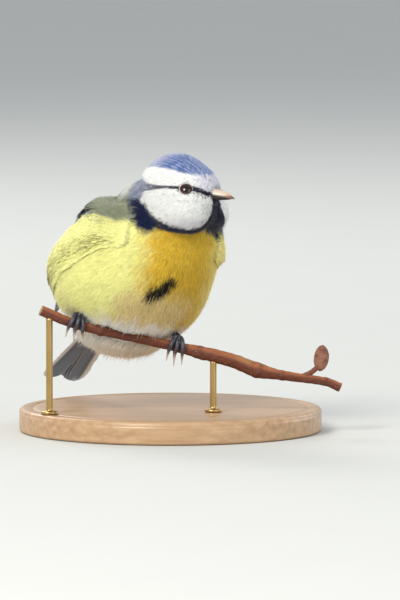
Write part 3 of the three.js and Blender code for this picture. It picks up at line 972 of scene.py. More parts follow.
@dataclass(frozen=True)
class Pattern:
    """The bird's markings as named curves. The head's are pairs of degrees round from the bill and up."""

    cap: tuple = ((0, 36), (26, 38), (52, 42), (79, 45), (104, 45), (130, 42), (155, 34), (180, 27))
    stripe: tuple = (
        (0, 2), (12, 4), (23, 6.5), (32, 10), (46, 15.5), (74, 16), (91, 16), (110, 13), (131, 10), (180, 8),
    )
    stripe_half: tuple = (
        (0, 2.6), (12, 3.4), (23, 4.8), (32, 4.4), (46, 5), (60, 4),
        (74, 2.4), (91, 2.0), (105, 2.9), (122, 4.6), (140, 8), (180, 12),
    )
    cheek: tuple = (
        (0, 40), (9.5, 40), (10.5, 4), (11.5, -6), (13.5, -17), (23, -29), (31, -36),
        (51, -39), (77, -36), (98, -30), (119, -22), (134, -12), (149, 1), (158, 24), (180, 40),
    )
    collar: tuple = (
        (0, -53), (40, -50), (64, -48), (88, -46), (110, -41),
        (127, -33), (142, -25), (156, -18), (168, -10), (180, -8),
    )
    collar_reach: tuple = (
        (0, 19.5), (112, 18.6), (126, 18.2), (142, 17.4), (155, 16.5), (165, 15.6), (180, 15.2),
    )
    mantle_edge: tuple = ((-40, -22), (-23, -6), (-11, 3), (0, 11), (4, 16.5), (16, 17.2), (30, 17.0))
    belly_line: tuple = ((22.5, 1.6, 0.0), (22.1, 0.2, -1.5), (21.4, -1.5, -3.6), (20.8, -3.4, -5.0))
    belly_half: float = 1.9
    nape_spot: Triple = (5.5, 0.0, 26.0)

    @staticmethod
    def bearing(points: Array) -> tuple[Array, Array, Array, Array]:
        """Places in the head's frame, distances, degrees up and degrees round from the bill."""
        h = HEAD.into(points)
        reach = np.maximum(np.linalg.norm(h, axis=-1), 1e-6)
        up = np.degrees(np.arcsin(np.clip(h[..., 2] / reach, -1, 1)))
        return h, reach, up, np.degrees(np.arctan2(np.abs(h[..., 1]), h[..., 0]))

    def head_share(self, points: Array) -> Array:
        """How much a point belongs to the head's markings, from 0 to 1."""
        _, reach, up, round_ = self.bearing(points)
        near = step(0.7, -0.7, reach - table(self.collar_reach, round_))
        return step(-2.0, 1.2, up - table(self.collar, round_)) * near

    def head(self, points: Array) -> Array:
        """The head's colours at points of the row's frame."""
        h, _, up, round_ = self.bearing(points)
        up = up + 0.7 * ripple(points, 2.2, 3)
        round_ = np.clip(round_ + 0.5 * ripple(points, 1.9, 4), 0, 180)
        above = up - table(self.cap, round_)
        # Painted shade: the white forehead is tinted lilac-grey. The lower front of the cheek takes half of
        # the same tint.
        front = step(62, 20, round_) * step(2, 14, up)
        fringe = step(-20, -30, up) * step(95, 60, round_)
        colour = mixed(Hue.WHITE.light, Hue.LILAC.light, np.clip(0.85 * front + 0.5 * fringe, 0, 1))
        streak = step(0.0, 0.8, ripple(h * [0.4, 1.7, 0.9], 0.95, 6))
        # Painted highlight: a backlit rim of pale lilac along the rear of the cap.
        rim = step(108, 150, round_)
        azure = mixed(Hue.AZURE.light, Hue.AZURE_PALE.light, 0.8 * streak + 0.15 * step(46, 10, round_))
        azure = mixed(azure, Hue.LILAC.light, 0.62 * rim)
        colour = mixed(colour, azure, step(-2.0, 2.6, above + 1.5 * streak * step(70, 40, round_)))
        centre = table(self.stripe, round_)
        half = table(self.stripe_half, round_)
        broken = 1 - 0.5 * step(0.1, 1.0, ripple(points, 1.4, 9)) * step(84, 92, round_)
        stripe = step(half + 1.4, half - 1.2, np.abs(up - centre)) * broken
        dusk = mixed(Hue.INK.light, Hue.SMOKE.light, step(24, 60, round_))
        dusk = mixed(dusk, Hue.NAPE.light * 0.6, step(104, 134, round_))
        colour = mixed(colour, dusk, stripe)
        low = step(1.3, -1.3, up - table(self.cheek, round_)) * step(centre + 3, centre + 1, up)
        ink = mixed(Hue.NAVY.light, Hue.INK.light, step(60, 25, round_))
        fleck = 0.16 * step(0.2, 1.0, ripple(points, 1.0, 7)) * step(40, 20, round_)
        colour = mixed(colour, mixed(ink, Hue.LILAC.light * 0.6, fleck), low)
        nape = mixed(Hue.SMOKE.light, Hue.NAPE.light, 0.75 + 0.25 * ripple(points, 2.5, 8))
        rear = step(130, 142, round_) * step(23, 16, up) * step(-11, -4, up)
        return mixed(colour, nape, rear)

    def body(self, points: Array) -> Array:
        """The body's colours at points of the row's frame."""
        b = BODY.into(points)
        x, y, z = b[..., 0], b[..., 1], b[..., 2]
        wander = ripple(points, 5.0, 11)
        fine = ripple(points, 1.8, 12)
        # Painted highlight: the flanks are painted a pale sunlit lime, in full on the bird's right and at a
        # little over half on its left.
        flank = np.maximum(step(4, 12, -y + 1.2 * wander), 0.55 * step(11, 20, y + 1.2 * wander))
        colour = mixed(Hue.GOLD.light, Hue.SUNLIT_LIME.light, flank)
        colour = mixed(colour, Hue.BUFF.light, 0.12 + 0.1 * fine)
        lower = step(-0.5, -7.5, z + 1.4 * wander) * step(15.0, 9.0, np.abs(y + 0.5) + 1.3 * wander)
        colour = mixed(colour, Hue.BUFF.light, lower * 0.86)
        colour = mixed(colour, Hue.VENT.light, step(-11.5, -15.5, z + wander) * 0.96)
        colour = mixed(colour, Hue.OLIVE.light, step(-2, -14, x + wander) * step(-14, -8, z) * 0.4)
        line = np.array(self.belly_line)
        away = np.full(points.shape[:-1], 1e9)
        for a, c in zip(line[:-1], line[1:]):
            share = np.clip(((b - a) @ (c - a)) / ((c - a) @ (c - a)), 0, 1)
            away = np.minimum(away, np.linalg.norm(b - a - share[..., None] * (c - a), axis=-1))
        dark = step(self.belly_half + 1.3, self.belly_half - 0.9, away + 0.5 * fine)
        colour = mixed(colour, Hue.BELLY_STRIPE.light, dark)
        back = z - table(self.mantle_edge, x) + 0.8 * wander
        mantle = mixed(Hue.MANTLE.light, Hue.MANTLE_GREY.light, 0.5 + 0.4 * fine)
        colour = mixed(colour, mantle, step(-0.8, 1.2, back))
        spot = (b - np.array(self.nape_spot)) * [1.0, 0.45, 1.0]
        pale = step(6.6, 4.0, np.linalg.norm(spot, axis=-1) + 0.5 * wander)
        return mixed(colour, Hue.WHITE.light * 0.9, 0.75 * pale)

    def colours(self, points: Array) -> Array:
        """The plumage's colours, shared by the skin and the coat.

        Args:
            points: Places in millimetres in the row's frame.

        Returns:
            Linear colours.
        """
        return mixed(self.body(points), self.head(points), self.head_share(points))


PATTERN = Pattern()


# Skin

# Each chart of the skin's unwrap: its frame, its low corner and its size on the bake map.
CHARTS = ((BODY, (0.04, 0.04), (0.92, 0.5)), (HEAD, (0.04, 0.6), (0.92, 0.36)))
STRAY = 0.1


@dataclass
class Skin:
    """The closed outer form of head, neck and body, and the skin that lies under it by the coat's depth."""

    voxel: float = 0.5
    swell: float = 0.36
    smoothing: int = 26
    strokes: tuple[float, float] = (0.6, -0.58)
    body_depth: float = 1.5
    head_depth: float = 0.85
    face_depth: float = 0.35
    head_zone: tuple[float, float] = (22.0, 17.0)
    face_middle: Triple = (9.5, 0, 0.5)
    face_zone: tuple[float, float] = (9.5, 4.0)
    eye_zone: tuple[float, float] = (4.5, 2.5)
    points: Array = field(init=False)
    quads: Array = field(init=False)
    normals: Array = field(init=False)
    tree: BVHTree = field(init=False)

    def raise_form(self, nodes: dict[str, bpy.types.Object]) -> None:
        """Joins the solids of head, neck and torso into one smooth closed surface.

        Args:
            nodes: The frame's solids by name.
        """
        shapes = []
        for name in ("torso", "neck", "head"):
            mesh = nodes[name].data
            points = points_of(mesh)
            mesh.calc_loop_triangles()
            tri = np.empty(len(mesh.loop_triangles) * 3, np.int32)
            mesh.loop_triangles.foreach_get("vertices", tri)
            _, first, back = np.unique(np.round(points, 3), axis=0, return_index=True, return_inverse=True)
            points, faces = points[first], back.ravel()[tri].reshape(-1, 3)
            points = points + self.swell * point_normals(points, faces)
            shapes.append(Shape(points, faces))
        rough = bpy.data.objects.new("rough_form", mesh_of("rough_form", Shape.joined(shapes)))
        bpy.context.scene.collection.objects.link(rough)
        remesh = rough.modifiers.new("remesh", "REMESH")
        remesh.mode = "VOXEL"
        remesh.voxel_size = self.voxel * MM
        ready = rough.evaluated_get(bpy.context.evaluated_depsgraph_get())
        mesh = ready.to_mesh()
        corner = np.empty(len(mesh.loops), np.int32)
        mesh.loops.foreach_get("vertex_index", corner)
        self.points = points_of(mesh)
        self.quads = corner.reshape(-1, 4)
        ready.to_mesh_clear()
        spent = rough.data
        bpy.data.objects.remove(rough)
        bpy.data.meshes.remove(spent)
        self.settle()

    def settle(self) -> None:
        """Smooths the voxel steps away without shrinking, and reads the normals."""
        edges = np.concatenate([self.quads[:, [k, (k + 1) % 4]] for k in range(4)])
        a, b = np.concatenate([edges, edges[:, ::-1]]).T
        degree = np.bincount(a, minlength=len(self.points))[:, None]
        for share in self.strokes * self.smoothing:
            sums = [np.bincount(a, self.points[b, k], len(self.points)) for k in range(3)]
            mean = np.stack(sums, 1) / degree
            self.points = self.points + share * (mean - self.points)
        tri = triangles_of(self.quads)
        self.normals = point_normals(self.points, tri)
        if ((self.points - self.points.mean(0)) * self.normals).sum() < 0:
            self.quads = self.quads[:, ::-1]
            self.normals = -self.normals
        self.tree = BVHTree.FromPolygons(self.points.tolist(), self.quads.tolist())
        LOG.info("outer form: %d quads", len(self.quads))

    def depth(self, points: Array) -> Array:
        """The coat's depth: least on the face and most on the body.

        Args:
            points: Places in the row's frame.

        Returns:
            A depth for each point.
        """
        head = HEAD.into(points)
        on_head = step(*self.head_zone, np.linalg.norm(head, axis=-1))
        on_face = step(*self.face_zone, np.linalg.norm(head - self.face_middle, axis=-1))
        near_eye = np.zeros(points.shape[:-1])
        for sign in (1, -1):
            away = np.linalg.norm(head - Eye(sign).surface, axis=-1)
            near_eye = np.maximum(near_eye, step(*self.eye_zone, away))
        depth = self.body_depth + (self.head_depth - self.body_depth) * on_head
        return depth + (self.face_depth - depth) * np.maximum(on_face, near_eye)

    def nearest(self, points: Array) -> tuple[Array, Array]:
        """The nearest places of the outer form, with its normals there."""
        found = [self.tree.find_nearest(p) for p in points]
        return np.array([f[0][:] for f in found]), np.array([f[1][:] for f in found])

    @staticmethod
    def unwrap(points: Array) -> Array:
        """Places on the skin's unwrap: one chart round the body's upright and one round the head's.

        Args:
            points: Places in the row's frame.

        Returns:
            Pairs from 0 to 1.
        """
        charts = []
        for frame, low, size in CHARTS:
            local = frame.into(points)
            around = np.arctan2(local[..., 1], local[..., 0]) / math.tau + 0.5
            up = np.arcsin(np.clip(local[..., 2] / np.maximum(np.linalg.norm(local, axis=-1), 1e-6), -1, 1))
            charts.append(np.stack([low[0] + size[0] * around, low[1] + size[1] * (up / math.pi + 0.5)], -1))
        on_head = is_head(points)[..., None]
        return np.where(on_head, charts[1], charts[0])

    def make(self) -> None:
        """Makes the skin piece in place of the solids of head, neck and torso."""
        under = self.points - self.normals * self.depth(self.points)[:, None]
        marks = PATTERN.colours(self.points)
        corners = self.quads.ravel()
        middle = self.points[self.quads].mean(1)
        bake = self.unwrap(self.points)[corners].reshape(-1, 4, 2)
        home = self.unwrap(middle)[:, None]
        shifted = bake[..., 0] - home[..., 0]
        width = CHARTS[0][2][0]
        bake[..., 0] -= np.round(shifted / width) * width
        stray = np.abs(bake[..., 1] - home[..., 1]) > STRAY
        bake = np.where(stray[..., None], home, bake)
        skin = Shape(under, self.quads, marks, bake=np.clip(bake.reshape(-1, 2), 0, 1))
        piece("skin", skin, SkinFinish("down_ground"), ("torso", "neck", "head"))


def is_head(points: Array) -> Array:
    """Whether points belong to the head's part of the coat."""
    middle, reach = (0.5, 0, -0.5), 15.2
    return np.linalg.norm(HEAD.into(points) - middle, axis=-1) < reach


# Coat


class Region(Enum):
    """The parts of the coat, each a piece of its own."""

    CROWN = "crown"
    FACE_LEFT = "face_left"
    FACE_RIGHT = "face_right"
    THROAT = "throat"
    MANTLE = "mantle"
    BREAST = "breast"
    BELLY = "belly"
    FLANK_LEFT = "flank_left"
    FLANK_RIGHT = "flank_right"
    RUMP = "rump"
    VENT = "vent"

    @property
    def on_head(self) -> bool:
        """Whether its feathers are the head's small ones."""
        return self in (Region.CROWN, Region.FACE_LEFT, Region.FACE_RIGHT, Region.THROAT)


def per_barb(vectors: Array) -> Array:
    """One vector for each tuft, spread over its barbs."""
    return vectors[:, None, :]


def per_tuft(values: Array) -> Array:
    """One number for each tuft, spread over its barbs and axes."""
    return values[:, None, None]


@dataclass(frozen=True)
class Tuft:
    """How one small feather is made: sizes in millimetres, and breadth and paleness as shares."""

    barbs: int
    breadth: float
    loose: float
    wispy: float
    barb_width: float
    uneven: float
    fringe: float = 0.5
    wisps: float = 0.07


BODY_TUFT = Tuft(15, 0.24, 0.12, 0.42, 0.24, 0.1)
HEAD_TUFT = Tuft(8, 0.27, 0.06, 0.2, 0.17, 0.15)


@dataclass
class Coat:
    """Small body feathers: each a tuft of barbs that lies back along the body, its tip at the outer form."""

    spacing_body: float = 0.72
    spacing_head: float = 0.44
    length_body: float = 5.8
    length_crown: float = 2.9
    length_face: float = 1.5
    length_vent: float = 8.4
    piece_limit: int = 190_000
    base_tone: float = 0.4
    waist_tone: float = 0.8
    tip_tone: float = 1.03
    source: Triple = (8.5, 0.0, 0.9)
    sink: Triple = (-25.0, 20.0, 26.0)

    def flow(self, points: Array, normals: Array) -> Array:
        """The way the feathers lie: from the bill to the tail over the surface.

        Args:
            points: Places on the outer form.
            normals: Its normals there.

        Returns:
            Unit tangents.
        """
        start = HEAD.out(np.array(self.source))
        away, home = points - start, np.array(self.sink) - points
        far = np.linalg.norm(away, axis=-1, keepdims=True)
        near = np.linalg.norm(home, axis=-1, keepdims=True)
        way = away / far**2.2 + home / near**2.2
        way = way + 0.004 * np.stack([ripple(points, 6.0, k) for k in (21, 22, 23)], -1)
        return unit(way - normals * (way * normals).sum(-1, keepdims=True))

    def lengths(self, points: Array) -> Array:
        """The feathers' lengths: shortest round the eyes and bill, longest at the vent."""
        head = HEAD.into(points)
        body = BODY.into(points)
        on_head = step(21.0, 16.0, np.linalg.norm(head, axis=-1))
        face = step(12.0, 5.0, np.linalg.norm(head - [9.5, 0, 0], axis=-1))
        for sign in (1, -1):
            face = np.maximum(face, step(6.0, 2.6, np.linalg.norm(head - Eye(sign).surface, axis=-1)))
        length = self.length_body + (self.length_vent - self.length_body) * step(-9, -17, body[..., 2])
        length = length + (self.length_crown - length) * on_head
        return length + (self.length_face - length) * face

    @staticmethod
    def region(points: Array) -> Array:
        """The region of each point, as its number in Region."""
        head, body = HEAD.into(points), BODY.into(points)
        order = list(Region)
        number = np.full(len(points), order.index(Region.BREAST))
        number[body[:, 2] < -2] = order.index(Region.BELLY)
        number[body[:, 1] > 9] = order.index(Region.FLANK_LEFT)
        number[body[:, 1] < -9] = order.index(Region.FLANK_RIGHT)
        number[body[:, 2] > table(PATTERN.mantle_edge, body[:, 0])] = order.index(Region.MANTLE)
        number[(body[:, 0] < -10)] = order.index(Region.RUMP)
        number[body[:, 2] < -12.5] = order.index(Region.VENT)
        on_head = is_head(points)
        number[on_head] = order.index(Region.THROAT)
        number[on_head & (head[:, 1] > 0) & (head[:, 2] > -10)] = order.index(Region.FACE_LEFT)
        number[on_head & (head[:, 1] <= 0) & (head[:, 2] > -10)] = order.index(Region.FACE_RIGHT)
        number[on_head & (head[:, 2] > 5)] = order.index(Region.CROWN)
        return number

    def roots(self, skin: Skin, rng: np.random.Generator) -> tuple[Array, Array]:
        """Evenly spread roots on the outer form.

        Args:
            skin: The form.
            rng: The seeded draw.

        Returns:
            Roots and normals.
        """
        corners = skin.points[skin.quads]
        diagonal = np.cross(corners[:, 2] - corners[:, 0], corners[:, 3] - corners[:, 1])
        area = np.linalg.norm(diagonal, axis=1) / 2
        middle = corners.mean(1)
        on_head = step(20.0, 16.0, np.linalg.norm(HEAD.into(middle), axis=1))
        spacing = self.spacing_body + (self.spacing_head - self.spacing_body) * on_head
        wanted = area / spacing**2
        count = np.floor(wanted + rng.uniform(0, 1, len(area))).astype(int)
        index = np.repeat(np.arange(len(area)), count)
        u, v = rng.uniform(0, 1, (2, len(index), 1))
        c = corners[index]
        roots = (c[:, 0] * (1 - u) + c[:, 1] * u) * (1 - v) + (c[:, 3] * (1 - u) + c[:, 2] * u) * v
        return roots, unit(skin.normals[skin.quads[index]].mean(1))

    @staticmethod
    def under_wings(wings: "list[Wing]", places: tuple[tuple[Array, Array], ...]) -> Array:
        """How far the wings stand over some places.

        Args:
            wings: The wings.
            places: Pairs of points and normals.

        Returns:
            A column of heights for each pair, 0 where no wing is over it.
        """
        start, reach = 1.0, 6.0
        cover = BVHTree.FromPolygons(*Wing.cover(wings))
        under = np.zeros((len(places[0][0]), len(places)))
        for k, (place, normal) in enumerate(places):
            for i in range(len(place)):
                hit = cover.ray_cast(Vector(place[i] - normal[i]), Vector(normal[i]), reach)
                if hit[3] is not None:
                    under[i, k] = hit[3] - start
        return under

    def make(self, skin: Skin, wings: "list[Wing]", twig: "Twig") -> None:
        """Grows the coat and makes its pieces.

        Args:
            skin: The form that it grows on.
            wings: The wings, which it lies under and round.
            twig: The perch, which it keeps clear of.
        """
        rng = np.random.default_rng(SEED)
        roots, normals = self.roots(skin, rng)
        way = self.flow(roots, normals)
        length = self.lengths(roots) * rng.uniform(0.86, 1.14, len(roots))
        keep = np.ones(len(roots), bool)
        for sign in (1, -1):
            eye = Eye(sign)
            centre = HEAD.out(eye.surface)
            away = np.linalg.norm(roots - centre, axis=1)
            keep &= away > eye.bare + 0.1
            towards = ((centre - roots) * way).sum(1) > 0
            length = np.where(towards, np.minimum(length, np.maximum(away - eye.bare + 0.15, 0.4)), length)
        bill = HEAD.into(roots)
        keep &= ~((bill[:, 0] > 8.5) & (np.abs(bill[:, 1]) < 2.1) & (bill[:, 2] > -0.8) & (bill[:, 2] < 3.0))
        roots, normals, way, length = roots[keep], normals[keep], way[keep], length[keep]
        middle, middle_normal = skin.nearest(roots + way * (length * 0.5)[:, None])
        middle_way = self.flow(middle, middle_normal)
        tip, tip_normal = skin.nearest(middle + middle_way * (length * 0.5)[:, None])
        depth = skin.depth(roots)
        middle_lift, tip_lift = -0.38 * depth, np.zeros(len(roots))
        under = self.under_wings(wings, ((roots, normals), (middle, middle_normal), (tip, tip_normal)))
        over = (under[:, 0] == 0) & (under[:, 2] > 0)
        middle_lift = np.where(over, 0.4 * under[:, 2] + 0.1, middle_lift)
        tip_lift = np.where(over, under[:, 2] + 0.45, tip_lift)
        hidden = (under > 0).all(1) & (rng.uniform(0, 1, len(roots)) < 0.7)
        keep = ~hidden
        for place, room in ((roots, 1.2), (middle, 0.7), (tip, 0.5)):
            keep &= twig.clear(place) > room
        data = [roots, normals, way, length, middle, middle_normal, middle_way, tip, tip_normal, depth]
        data += [middle_lift, tip_lift, np.zeros((len(roots), 3))]
        over_wings = [wing.overlay(skin, self.length_body, rng) for wing in wings]
        data = [np.concatenate([d[keep], *more]) for d, *more in zip(data, *over_wings)]
        self.weave(data, rng)

    def weave(self, data: list[Array], rng: np.random.Generator) -> None:
        """Makes the barbs of all tufts, region by region.

        Args:
            data: Roots, normals, ways, lengths, middles, tips, depths, lifts and drifts.
            rng: The seeded draw.
        """
        number = self.region(data[0] + data[-1])
        for index, region in enumerate(Region):
            chosen = np.nonzero(number == index)[0]
            if len(chosen) == 0:
                continue
            barbs = (HEAD_TUFT if region.on_head else BODY_TUFT).barbs
            parts = math.ceil(len(chosen) / (self.piece_limit // (3 * barbs)))
            for part, some in enumerate(np.array_split(chosen, parts)):
                name = f"{region.value}_feathers" + (f"_{part + 1}" if parts > 1 else "")
                shape = self.tufts([d[some] for d in data], region.on_head, rng)
                piece(name, shape, DownFinish("down"))

    def tufts(self, data: list[Array], on_head: bool, rng: np.random.Generator) -> Shape:
        """The barbs of some tufts.

        Args:
            data: Roots, normals, ways, lengths, middles, tips, depths, lifts and drifts.
            on_head: Whether they are the head's small feathers.
            rng: The seeded draw.

        Returns:
            Their joined shape, three triangles for each barb.
        """
        roots, normals, way, length, middle, middle_normal, middle_way, tip, tip_normal, depth = data[:10]
        mid_lift, tip_lift, drift = data[10:]
        kind = HEAD_TUFT if on_head else BODY_TUFT
        n, barbs = len(roots), kind.barbs
        side = unit(np.cross(normals, way))
        middle_side = unit(np.cross(middle_normal, middle_way))
        spread = (np.linspace(-1, 1, barbs)[None, :] + rng.normal(0, 0.09, (n, barbs)))[..., None]
        half = per_tuft(length * kind.breadth)
        reach = 1 - 0.26 * spread**2 + rng.normal(0, 0.06, (n, barbs, 1))
        lift = np.abs(rng.normal(0, kind.loose, (n, barbs, 1)))
        wisp = rng.uniform(0, 1, (n, barbs, 1)) < kind.wisps
        lift = lift + wisp * np.abs(rng.normal(0, kind.wispy, (n, barbs, 1)))
        lift = lift * (1 if on_head else per_tuft(length / self.length_body) ** 2)
        reach = reach + 0.16 * wisp
        width = kind.barb_width * rng.uniform(0.75, 1.25, (n, barbs, 1))
        across = per_barb(middle_side)
        foot = per_barb(roots) - per_barb(normals) * per_tuft(depth) + per_barb(side) * spread * half * 0.3
        waist = per_barb(middle) + per_barb(middle_normal) * per_tuft(mid_lift) + across * spread * half * 0.85
        end = per_barb(middle) + per_barb(tip - middle) * (2 * reach - 1)
        end = end + per_barb(tip_normal) * (per_tuft(tip_lift) * (2 * reach - 1) + lift)
        end = end + across * spread * half
        offset = across * width / 2
        points = np.stack([foot - offset * 0.5, foot + offset * 0.5, waist - offset, waist + offset, end], 2)
        bent = 0.3 * spread * across
        foot_normal = unit(per_barb(normals) + bent)
        waist_normal = unit(per_barb(middle_normal) + bent + 0.05 * rng.normal(size=(n, barbs, 3)))
        end_normal = per_barb(tip_normal) + bent + 0.22 * per_barb(middle_way)
        end_normal = unit(end_normal + 0.08 * rng.normal(size=(n, barbs, 3)))
        shade = [foot_normal, foot_normal, waist_normal, waist_normal, end_normal]
        shift = kind.fringe * (rng.normal(size=(n, 1, 1)) + 0.5 * rng.normal(size=(n, barbs, 1)))
        seen = end - per_barb(tip_normal) * per_tuft(tip_lift)
        seen = seen + per_barb(middle_way) * shift + per_barb(drift)
        ink = PATTERN.colours(seen.reshape(-1, 3)).reshape(n, barbs, 3)
        ink = ink * (
            1 + 0.06 * rng.normal(size=(n, 1, 1)) + kind.uneven * rng.normal(size=(n, barbs, 1))
        )
        base, waist_ink = ink * self.base_tone, ink * self.waist_tone
        marks = np.stack([base, base, waist_ink, waist_ink, ink * self.tip_tone], 2)
        home = Skin.unwrap(roots)[:, None, None, :]
        local = np.zeros((n, barbs, 5, 2))
        local[..., 0] = np.clip(spread, -1, 1) * 0.0012
        local[..., 1] = np.array([-0.0014, -0.0014, 0.0, 0.0, 0.0014])
        first = (np.arange(n * barbs) * 5)[:, None]
        faces = np.concatenate([first + [0, 3, 1], first + [0, 2, 3], first + [2, 4, 3]])
        return Shape(
            points.reshape(-1, 3),
            faces,
            marks.reshape(-1, 3),
            normals=np.stack(shade, 2).reshape(-1, 3),
            bake=np.clip((home + local).reshape(-1, 2), 0, 1),
        )


# Head parts


@dataclass
class Eye:
    """An eyeball with its iris, pupil and ring of lid beads. Sign is +1 on the left."""

    sign: int
    direction: Triple = (6.4, 8.5, 2.7)
    radius: float = 2.5
    bulge: float = 0.55
    pupil: float = 1.0
    iris: float = 1.5
    lid_radius: float = 1.72
    lid_stretch: float = 1.12
    bead: float = 0.17
    beads: int = 30
    bare: float = 1.85

    @property
    def surface(self) -> Array:
        """Where the eye's axis leaves the face, in the head's frame."""
        return HEAD_BLEND.along(np.array(self.direction) * [1, self.sign, 1])

    @property
    def axes(self) -> Array:
        """Columns of side, up and outward directions in the head's frame."""
        out = HEAD_BLEND.normal(self.surface)
        side = unit(np.cross(np.array([0.0, 0.0, 1.0]), out))
        return np.stack([side, np.cross(out, side), out], 1)

    def ball(self) -> Shape:
        """The eyeball, a little flatter round the rim, with its colours."""
        shape = ball_of(self.radius - 0.02, 49, 64)
        local = shape.points
        away = np.hypot(local[:, 0], local[:, 1])
        front = local[:, 2] > 0
        brown = mixed(Tone.IRIS.light, Tone.IRIS_WARM.light, 0.5 + 0.5 * ripple(local, 0.5, 31))
        rim = Tone.EYE_RIM.light
        colour = mixed(Tone.PUPIL.light, brown, step(self.pupil - 0.05, self.pupil + 0.08, away))
        colour = mixed(colour, rim, step(self.iris - 0.05, self.iris + 0.12, away))
        shape.marks = np.where(front[:, None], colour, rim)
        centre = self.surface + self.axes[:, 2] * (self.bulge - self.radius)
        shape.points = HEAD.out(local @ self.axes.T + centre)
        return shape

    def lid(self) -> Shape:
        """A soft ring with small pale beads along its edge."""
        angle = np.linspace(0, math.tau, 97)[:-1]
        ring = np.stack([self.lid_stretch * np.cos(angle), np.sin(angle), 0 * angle], 1) * self.lid_radius
        section = np.linspace(0, math.tau, 13)[:-1]
        beading = 1 + 0.22 * np.cos(angle * self.beads)
        outward = unit(ring * [1, 1, 0])
        thick = self.bead * 1.6 * beading[:, None]
        grid = ring[:, None] + outward[:, None] * (thick * np.cos(section))[..., None]
        grid = grid + np.array([0, 0, 1.0]) * (thick * np.sin(section) * 0.9)[..., None]
        grid = np.concatenate([grid, grid[:1]])
        shape = sheet_of(grid, closed=True)
        bead = 0.45 + 0.55 * step(-0.2, 0.8, np.cos(angle * self.beads))
        pale = step(0.15, 0.75, np.cos(section - 0.7))[None, :] * bead[:, None]
        pale = np.concatenate([pale, pale[:1]]).ravel()
        shape.marks = mixed(Tone.LID.light, Tone.LID_BEAD.light, 0.9 * pale)
        place = self.surface + self.axes[:, 2] * 0.12
        shape.points = HEAD.out(shape.points @ self.axes.T + place)
        return shape

    def make(self) -> None:
        """Makes the eyeball and its lid."""
        side = "left" if self.sign > 0 else "right"
        piece(f"eyeball_{side}", self.ball(), EyeFinish("wet_eye"), (f"eye_{side}",))
        piece(f"lid_{side}", self.lid(), HornFinish("lid_skin", roughness=0.5, coat=0.1))


